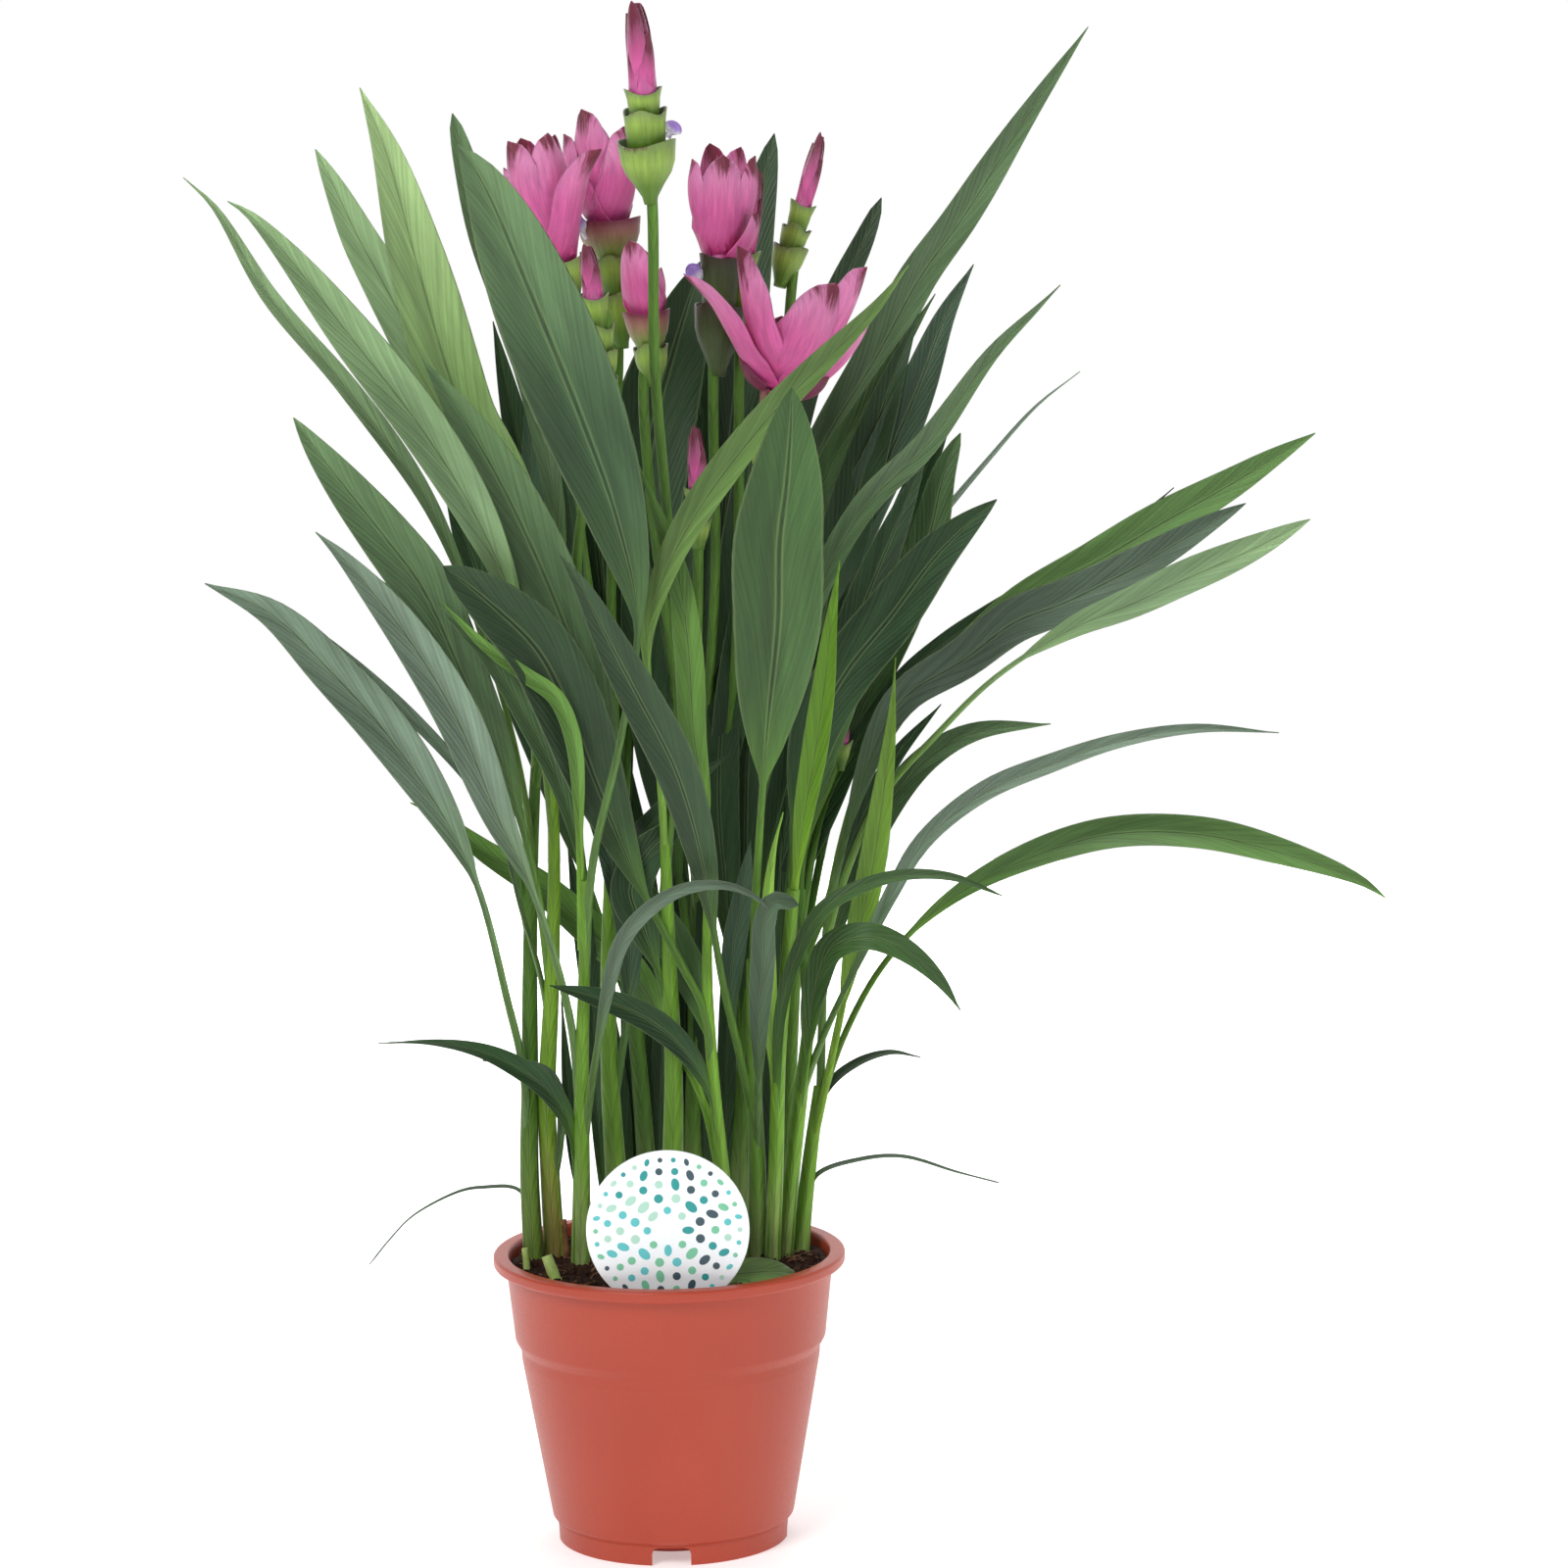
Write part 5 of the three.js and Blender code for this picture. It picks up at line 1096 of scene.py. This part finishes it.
# The flower heads stand on green stalks. Below are green cup-shaped bracts, each standing in the
# next; above, pink petal-like bracts with crimson-brown tips close like a tulip, or lie open.
# Bracts: depth under the head's foot and radius. Petals: azimuth, lift, length, width, spread, curl.
HEADS = {
    "flower_left_bud": {
        "foot": (-25, 529), "top": (-27, 552), "core": (4.6, 3), "sink": 2.5, "cups": "green",
        "bracts": [(0.5, 5.6), (11, 6.8), (22, 7.2), (33, 6.4), (46, 3)],
    },
    "flower_left": {
        "foot": (-39, 544), "top": (-50, 600), "core": (6, 3), "sink": 4, "cups": "green",
        "bracts": [(1, 9.5), (14, 8.5), (27, 7), (46, 3)],
        "petals": [(-45, 3, 54, 32, 29, -9), (33, 5, 51, 29, 26, 0), (54, -3, 53, 26, 34, 92),
            (-8, 2, 40, 30, 26, -8), (130, 4, 52, 24, 22, 0), (205, 4, 54, 24, 22, 0),
            (-100, 0, 48, 24, 34, -8)],
    },
    "flower_left_back": {
        "foot": (-18, 560), "top": (-22, 606), "core": (6, 3), "sink": 7, "cups": "purple",
        "bracts": [(0.5, 13), (15, 8.2), (30, 7.5), (54, 3)],
        "petals": [(-30, 3, 48, 28, 26, -6), (50, 2, 42, 30, 40, -24), (125, 3, 42, 26, 32, -10),
            (8, 1, 34, 28, 30, -10), (205, 3, 46, 26, 22, 0), (-85, 0, 44, 28, 36, -8)],
    },
    "flower_tall_bud": {
        "foot": (-3, 614), "top": (-5, 652), "core": (6, 2.2), "sink": 2.5, "cups": "green",
        "bracts": [(0.8, 6.8), (7, 8.4), (19.5, 11.2), (45, 2.6)],
    },
    "flower_middle_small": {
        "foot": (-3, 522), "top": (-6, 556), "core": (5, 2.5), "sink": 5, "cups": "purple",
        "bracts": [(0.5, 9.3), (13, 7), (30, 3)],
        "petals": [(-25, 0, 33, 22, 26, -8), (80, 0, 21, 16, 36, -10), (190, 0, 31, 22, 26, -6)],
    },
    "flower_middle": {
        "foot": (28, 545), "top": (30, 592), "core": (6, 3), "sink": 3, "cups": "brown",
        "bracts": [(0.5, 8.2), (19, 10.4), (50, 3.4)],
        "petals": [(0, 1, 45, 34, 34, -14), (-80, 3, 42, 26, 36, -10), (82, 3, 44, 26, 34, -8),
            (140, 3, 47, 26, 22, 0), (215, 3, 48, 24, 20, 0), (62, -6, 26, 14, 66, 10)],
    },
    "flower_middle_bud": {
        "foot": (39, 547), "top": (45, 582), "core": (3.4, 1.8), "sink": 2.5, "cups": "green",
        "bracts": [(0.5, 4.8), (13, 5.8), (32, 2.6)],
    },
    "flower_right_bud": {
        "foot": (62, 566), "top": (71, 596), "core": (4, 2), "sink": 2.5, "cups": "green",
        "bracts": [(0.5, 4.9), (9, 6), (18, 7), (36, 2.8)],
    },
    "flower_open": {
        "foot": (52, 490), "top": (58, 518), "core": (7, 3), "sink": 3, "cups": "purple",
        "bracts": [(2, 8), (14, 8), (26, 6.6), (38, 3)],
        "petals": [(35, 2, 53, 42, 46, 8), (62, 3, 62, 32, 42, 20), (-50, 3, 64, 25, 48, 50),
            (-65, -3, 64, 21, 58, 110), (-25, 0, 33, 36, 36, 8), (75, 0, 38, 30, 44, 16),
            (80, -3, 52, 17, 60, 30), (-70, 2, 21, 14, 100, 60), (60, 1.5, 22, 14, 105, 55)],
    },
    "flower_low_bud": {
        "foot": (76, 341), "top": (77, 353), "core": (3.2, 1.4), "sink": 2.5, "cups": "green",
        "bracts": [(0.5, 3.8), (11, 2)],
    },
    "flower_inner_bud": {
        "foot": (17, 448), "top": (17, 476), "core": (4.2, 2), "sink": 2.5, "cups": "green",
        "bracts": [(0.5, 5), (11, 5), (24, 2.6)],
    },
}


def petal_skin(name, tip, tip_from, roughness, soft=0.1, edge_fade=0.07):
    """A thin petal-like bract: fine lines up it, and a ragged, darker tip."""
    finish = Finish(name)
    across, run = finish.stored("across"), finish.stored("run")
    breadth = across * finish.stored("half")
    fine = finish.streaks(breadth * 2600.0, run * 70.0)
    broad = finish.streaks(breadth * 420.0, run * 60.0)
    shade = finish.mapped(fine, 0.3, 0.7, 0.86, 1.1) * finish.mapped(broad, 0.3, 0.7, 0.8, 1.16)
    body = finish.shaded(finish.stored("tint", "Color"), shade)
    uneven = finish.math("SINE", finish.stored("draw") * 5.3)
    ragged = finish.stored("along") + (fine - 0.5) * 0.22 + (broad - 0.5) * 0.5
    ragged = ragged - finish.math("ABSOLUTE", across) * edge_fade + uneven * 0.06
    tip_share = finish.mapped(ragged, tip_from, tip_from + soft, 0.0, 0.94)
    finish.feed("Base Color", finish.mixed(tip_share, body, tip))
    finish.feed("Roughness", finish.mapped(broad, 0.3, 0.7, roughness - 0.08, roughness + 0.08))
    finish.bump(fine + broad * 2.0, 0.4, 0.0006)
    finish.set(Specular_IOR_Level=0.4, Subsurface_Weight=0.15, Subsurface_Scale=1.0, Sheen_Weight=0.1)
    finish.set(Subsurface_Radius=(0.003, 0.001, 0.0015))
    return finish.material


def side_ways(up, azimuth):
    """The direction out from an axis: 0 is towards the front, then round to the right."""
    forward = np.array((0.0, -1.0, 0.0))
    forward = forward - up * np.dot(forward, up)
    forward = forward / np.linalg.norm(forward)
    angle = math.radians(azimuth)
    return forward * math.cos(angle) + np.cross(up, forward) * math.sin(angle)


PETAL_STEPS, PETAL_POINTS = 4, 26


def grow_petal(strands, base, up, azimuth, low, length, wide, spread, curl, radius, tint,
               fold=34, thick=0.7, draw=0.0, foot=0.66, blunt=3.2):
    """A bract from the axis: it leaves at spread degrees and bends in, then out again by curl."""
    out = side_ways(up, azimuth)
    spot = base + up * low + out * radius * 0.4
    spots = []
    for k in range(PETAL_STEPS + 1):
        spots.append(spot)
        angle = math.radians(spread * (1 - 1.4 * k / PETAL_STEPS) + curl * (k / PETAL_STEPS) ** 2)
        spot = spot + (up * math.cos(angle) + out * math.sin(angle)) * length / PETAL_STEPS
    path, ways, run = even_path(spots, PETAL_POINTS)
    share = np.linspace(0, 1, PETAL_POINTS)
    width = wide * np.minimum(1, foot + 1.4 * share) * np.sqrt(np.clip(1 - share ** blunt, 0, 1))
    half = np.maximum(width, 0.6) / 2
    strands.add(path, ways, run, half, thick, fold=fold, tint=tint(share), front=-out, draw=draw)


def dusky(share):
    """The small bracts under an open head are a dark crimson all over."""
    return np.outer(1 - 0.35 * share, linear(128, 34, 76))


def pink(share):
    deep, full, pale = (np.array(linear(*c)) for c in ((206, 60, 132), (212, 92, 156), (218, 130, 178)))
    low, high = ease(share, 0.0, 0.35)[:, None], ease(share, 0.4, 0.9)[:, None]
    return (deep * (1 - low) + full * low) * (1 - high) + pale * high


CUP_TINTS = {
    "green": ((84, 122, 24), (146, 176, 72), (120, 146, 78)),
    "brown": ((60, 78, 26), (52, 60, 26), (50, 38, 26)),
    "purple": ((112, 140, 46), (156, 110, 96), (120, 44, 68)),
}


class Cups:
    """Rings of points around a head's axis, going up the outside of each cup and down its inside."""

    OUTSIDE = (0, 0.12, 0.3, 0.5, 0.68, 0.82, 0.92, 0.98, 1)
    INSIDE = (1, 0.97, 0.85, 0.6, 0.4)
    WALL = 0.7
    ROUND = 40

    def __init__(self):
        self.places, self.faces = [], []
        self.rows = {"across": [], "half": [], "along": [], "run": [], "draw": [], "tint": []}

    def add(self, foot, up, low, low_radius, high, high_radius, tips, turn, tint, draw):
        """A cup from low up to its lip at high; its lip rises to that many tips, the first at turn."""
        angles = np.linspace(-math.pi, math.pi, self.ROUND, endpoint=False)
        forward, right = side_ways(up, 0), side_ways(up, 90)
        peak = np.abs(np.cos((angles - math.radians(turn)) * tips / 2)) ** 2.2
        first = len(self.places)
        lower, middle, upper = (np.array(linear(*c)) for c in CUP_TINTS[tint])
        # The inside of each cup is darkened to 0.45 of its colour: painted shade in the hollow.
        levels = [(t, 0, 1) for t in self.OUTSIDE] + [(t, self.WALL, 0.45) for t in self.INSIDE]
        for t, inset, painted_shade_factor in levels:
            radius = low_radius + (high_radius - low_radius) * ease(t, 0, 0.7)
            radius = radius + (0.5 + 1.1 * (peak - 0.4)) * max(0, t - 0.7) / 0.3 - inset
            level = low + (high - low) * t + (peak - 0.55) * 2.6 * t ** 3
            spots = foot + np.outer(np.cos(angles) * radius, forward)
            spots = spots + np.outer(np.sin(angles) * radius, right) + np.outer(level, up)
            self.places += list(spots / 1000)
            to_middle, to_upper = ease(t, 0.2, 0.75), ease(t, 0.7, 1.0)
            colour = (lower * (1 - to_middle) + middle * to_middle) * (1 - to_upper) + upper * to_upper
            same_round = (
                ("half", high_radius * math.pi / 1000), ("along", t), ("run", t * (high - low) / 1000),
                ("draw", draw), ("tint", (*(colour * painted_shade_factor), 1)))
            self.rows["across"] += list(angles / math.pi)
            for key, value in same_round:
                self.rows[key] += [value] * self.ROUND
        rings = [range(first + k * self.ROUND, first + (k + 1) * self.ROUND) for k in range(len(levels))]
        for under, over in zip(rings, rings[1:]):
            for k in range(self.ROUND):
                n = (k + 1) % self.ROUND
                self.faces.append((under[k], under[n], over[n], over[k]))
        self.faces += [list(rings[0])[::-1], list(rings[-1])]

    def mesh(self, name):
        mesh = bpy.data.meshes.new(name)
        mesh.from_pydata(self.places, [], self.faces)
        store(mesh, self.rows)
        mesh.shade_smooth()
        return mesh


def head_axis(head, ahead):
    foot, top = seen(*head["foot"], ahead), seen(*head["top"], ahead)
    length = float(np.linalg.norm(top - foot))
    return foot, (top - foot) / length, length

CORE_TINT = np.array(linear(206, 100, 158))
BUD_SHARES, BUD_RADII = (0, 0.4, 0.8, 1), np.array((1.0, 0.9, 0.55, 0.2))
BUD_WRAPS = ((-25, 0.98, 1.7), (48, 0.64, 2.0), (165, 0.93, 1.7), (250, 0.84, 1.7), (-62, 0.44, 1.95))
BUD_POINTS = 20
STALK_POINTS = 40


def grow_open_head(strands, head, sunk, base, up, length):
    """Petals round a short core."""
    low, high = head["core"]
    grow_stem(strands, [sunk, base + up * length * 0.3], low * 0.9, high, CORE_TINT, 10)
    for number, (azimuth, lift, long, wide, spread, curl) in enumerate(head["petals"]):
        grow_petal(
            strands, sunk, up, azimuth, max(1, lift + 1), long + head["sink"], wide, spread, curl, low,
            dusky if long < 28 and curl > 50 else pink, fold=min(40, 8 + wide), draw=number * 1.9)


def grow_bud(strands, head, sunk, base, up, length):
    """A pointed core with five bracts wrapped round it."""
    low = head["core"][0]
    path, ways, run = even_path([sunk, base + up * length * 0.5, base + up * length * 0.97], BUD_POINTS)
    radius = np.interp(np.linspace(0, 1, BUD_POINTS), BUD_SHARES, low * BUD_RADII)
    strands.add(path, ways, run, radius, 2 * radius, tint=CORE_TINT, front=(0, -1, 0))
    for number, (azimuth, share, girth) in enumerate(BUD_WRAPS):
        grow_petal(
            strands, sunk, up, azimuth, 1, length * share + head["sink"], low * 2.2, 6, -7, low * girth, pink,
            draw=number * 1.3, foot=0.8, blunt=1.9)


pink_skin = petal_skin("Pink_bract", linear(98, 6, 30), 0.74, 0.42, 0.12, 0.16)
bud_skin = petal_skin("Pink_bud", linear(94, 18, 40), 0.34, 0.34, 0.42)
cup_skin = petal_skin("Green_bract", linear(96, 44, 52), 1.0, 0.36)
stands = {}
for shoot in SHOOTS:
    if "stalks" not in shoot:
        continue
    stalks, cups = Strands(), Cups()
    for name, ahead, points in shoot["stalks"]:
        head = HEADS[name]
        start = ahead_at(shoot, points[0][1])
        spots = []
        for index, (across, height) in enumerate(points):
            share = min(1, index / (len(points) - 1) / 0.5)
            spots.append(seen(across, height, start + (ahead - start) * share))
        foot, up, length = head_axis(head, ahead)
        stands[name] = (foot, up, length)
        spots.append(foot - up * 2)
        grow_stem(stalks, spots, 2.0, 2.3, greens("mid", np.full(STALK_POINTS, 0.25)), STALK_POINTS)
        *lips, (bottom, bottom_radius) = head["bracts"]
        starts = [(below + 3, radius * 0.7) for below, radius in lips[1:]] + [(bottom, bottom_radius)]
        for level, ((below, radius), (start_below, start_radius)) in enumerate(zip(lips, starts)):
            tint = head["cups"] if level == 0 or head["cups"] == "brown" else "green"
            high = -below + (2.2 if level == 0 else 0)
            cups.add(
                foot, up, -start_below, start_radius, high, radius, 2 + level % 2, 70 * level - 80, tint,
                level * 1.3)
    title = shoot["name"].capitalize()
    finished(title + "_flower_stalks", stalks, leaf_material, shoot["name"], "leaf", points=14)
    cups_piece = new_object(title + "_green_bracts", facing_out(cups.mesh(shoot["name"] + "_cups")), cup_skin)
    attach(cups_piece, "root")
    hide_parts(shoot["name"])

for name, head in HEADS.items():
    foot, up, length = stands[name]
    base = foot + up * 0.3
    grow, skin = (grow_open_head, pink_skin) if "petals" in head else (grow_bud, bud_skin)
    strands = Strands()
    grow(strands, head, base - up * head["sink"], base, up, length)
    finished(name.capitalize(), strands, skin, name, "pink_bract", wave=0.05)


# The true flowers are small violet lips, each with a white throat. They are soft and thin, and
# come out sideways between two bracts of a head.
TRUE_FLOWERS = [
    ("true_flower_left", "flower_left_back", -5, 11.8, -55, 9),
    ("true_flower_middle", "flower_middle", -12, 7.2, -70, 10),
    ("true_flower_tall", "flower_tall_bud", -18, 8.6, 85, 6),
]
THROAT_TINT = np.array(linear(226, 220, 236))


def violet_tint(share):
    white, violet = np.array(linear(232, 226, 240)), np.array(linear(142, 116, 190))
    deep = ease(share, 0.25, 0.75)[:, None]
    return white * (1 - deep) + violet * deep


violet_skin = petal_skin("Violet_lip", linear(110, 84, 168), 0.9, 0.45)
for name, head_name, low, reach_out, azimuth, length in TRUE_FLOWERS:
    foot, up, _ = stands[head_name]
    out = side_ways(up, azimuth)
    spot = foot + up * low + out * reach_out
    way = (up + out * 0.8) / np.linalg.norm(up + out * 0.8)
    strands = Strands()
    grow_stem(strands, [spot, spot + way * length * 0.6], 1.6, 1.2, THROAT_TINT, 8)
    for number, turn in enumerate((0, 180, 95, -85)):
        narrow = number > 1
        grow_petal(
            strands, spot, way, turn, length * 0.3, length * (0.95 - 0.15 * narrow), 8.5 - 2.5 * narrow,
            42, 30, 1.2, violet_tint, fold=18, thick=0.45, draw=number, foot=0.45)
    finished(name.capitalize(), strands, violet_skin, name, "violet", wave=0.08, waves=900.0)


# Left on the soil: two cut stubs of old shoots, pale green with a dry cut end, the dry brown
# sheath of one, and a piece of an old leaf that lies inside the front right of the rim.
stub_skin = mottled("Cut_stub", 300, 3, (150, 182, 84), (186, 204, 128), (0.45, 0.6))
dry_skin = mottled("Dry_sheath", 220, 4, (88, 50, 30), (160, 112, 72), (0.75, 0.95), bump=(0.4, 0.0006))
STUB_POINTS = 24
LOOSE_LEAF_POINTS = 40
STUBS = [
    ("stub_front", (-45, -34), (-51, -30, 130), 2.9, 0, stub_skin, "stub"),
    ("stub_side", (-60.5, -13), (-61, -12, 129), 1.7, 0, stub_skin, "stub"),
    ("dry_sheath", (-44, 6), (-45, 2, 138), 1.6, 0.6, dry_skin, "dry"),
]
for name, (x, y), top, radius, squeeze, skin, slot in STUBS:
    strands = Strands()
    foot = np.array((x, y, SOIL_LEVEL - 9.0))
    top = np.array(top, dtype=float)
    path, ways, run = even_path([foot, (foot + top) / 2 + (0.4, 0, 0), top], STUB_POINTS)
    share = np.linspace(0, 1, STUB_POINTS)
    half = radius * (1 - 0.2 * share)
    thick = 2 * half * (1 - squeeze * share)
    strands.add(path, ways, run, half, thick, tint=(0.3, 0.4, 0.15), front=(0, -1, 0))
    finished(name.capitalize(), strands, skin, name, slot, points=18)

strands = Strands()
midrib = [(14, -49.5, 122.4), (25, -48, 124.7), (37, -45, 125.2), (47, -38.5, 123.8), (53.5, -31, 120.6)]
path, ways, run = even_path(midrib, LOOSE_LEAF_POINTS)
share = np.linspace(0, 1, LOOSE_LEAF_POINTS)
width = 2 + 11.5 * np.sin(np.pi * (0.12 + 0.86 * share)) ** 0.8
strands.add(
    path, ways, run, width / 2, 0.6, fold=8, tint=greens("light", np.ones(len(share))),
    front=(0, -0.8, 0.6), draw=2.0)
finished("Loose_leaf", strands, leaf_material, "loose_leaf", "leaf", cup=1.15)


# Around the object: a round pale floor that grows lighter outwards into a white surround, a
# pale sheet behind that only throws light back, and three broad soft lights.
def studio_white(low, high):
    """Matt white that glows by low near the middle and by high beyond a metre."""
    finish = Finish("Studio_white")
    finish.set(Base_Color=(0.9, 0.9, 0.9, 1), Roughness=0.9, Specular_IOR_Level=0.1)
    finish.set(Emission_Color=(1, 1, 1, 1))
    away = finish.add("ShaderNodeVectorMath", {0: finish.place()}, "Value", operation="LENGTH")
    finish.feed("Emission Strength", finish.mapped(away, 0.35, 1.1, low, high))
    return finish.material


FLOOR_RADIUS = 1.8
floor_shape = bmesh.new()
bmesh.ops.create_circle(floor_shape, cap_ends=True, segments=96, radius=FLOOR_RADIUS)
new_object("Floor", made_mesh(floor_shape, "Floor"), studio_white(0.4, 1.0))

SHEET_DISTANCE, SHEET_BEND, SHEET_HALF_WIDTH, SHEET_HEIGHT, SHEET_LIFT = 1.2, 0.8, 4, 4.0, 0.002
sheet_shape = bmesh.new()
turns = np.linspace(0.1, math.pi / 2, 14)
bends = [(SHEET_BEND * math.sin(a), SHEET_BEND * (1 - math.cos(a))) for a in turns]
profile = [(0, 0), *bends, (SHEET_BEND, SHEET_HEIGHT)]
left_edge, right_edge = (
    [sheet_shape.verts.new((x, SHEET_DISTANCE + y, z + SHEET_LIFT)) for y, z in profile]
    for x in (-SHEET_HALF_WIDTH, SHEET_HALF_WIDTH))
for k in range(len(profile) - 1):
    sheet_shape.faces.new((left_edge[k], right_edge[k], right_edge[k + 1], left_edge[k + 1]))
sheet_mesh = made_mesh(sheet_shape, "White_sheet")
sheet_mesh.shade_smooth()
sheet = new_object("White_sheet", sheet_mesh, studio_white(0.4, 0.4))
sheet.visible_camera = False


def soft_light(name, spot, aim, width, power, colour=(1, 1, 1)):
    data = bpy.data.lights.new(name, "AREA")
    data.shape = "DISK"
    data.size = width
    data.energy = power
    data.color = colour
    light = bpy.data.objects.new(name, data)
    light.matrix_world = (
        Matrix.Translation(spot) @ (Vector(aim) - Vector(spot)).to_track_quat("-Z", "Y").to_matrix().to_4x4()
    )
    scene.collection.objects.link(light)


soft_light("Key_light", (-1.1, -1.9, 1.9), (0, 0, 0.3), 1.2, 36)
soft_light("Fill_light", (1.8, -1.3, 1.0), (0, 0, 0.35), 1.6, 10)
soft_light("Top_light", (0.1, 0.6, 2.2), (0, 0, 0.4), 1.5, 16)
world = bpy.data.worlds.new("Studio")
world.use_nodes = True
surround = world.node_tree.nodes["Background"]
surround.inputs["Color"].default_value = (1, 1, 1, 1)
# White where the camera sees it, and a soft fill for everything else
seen_straight = world.node_tree.nodes.new("ShaderNodeLightPath").outputs["Is Camera Ray"]
strength = world.node_tree.nodes.new("ShaderNodeMapRange")
strength.inputs["To Min"].default_value = 0.3
strength.inputs["To Max"].default_value = 1.0
world.node_tree.links.new(seen_straight, strength.inputs["Value"])
world.node_tree.links.new(strength.outputs["Result"], surround.inputs["Strength"])
scene.world = world
scene.view_settings.view_transform = "Standard"
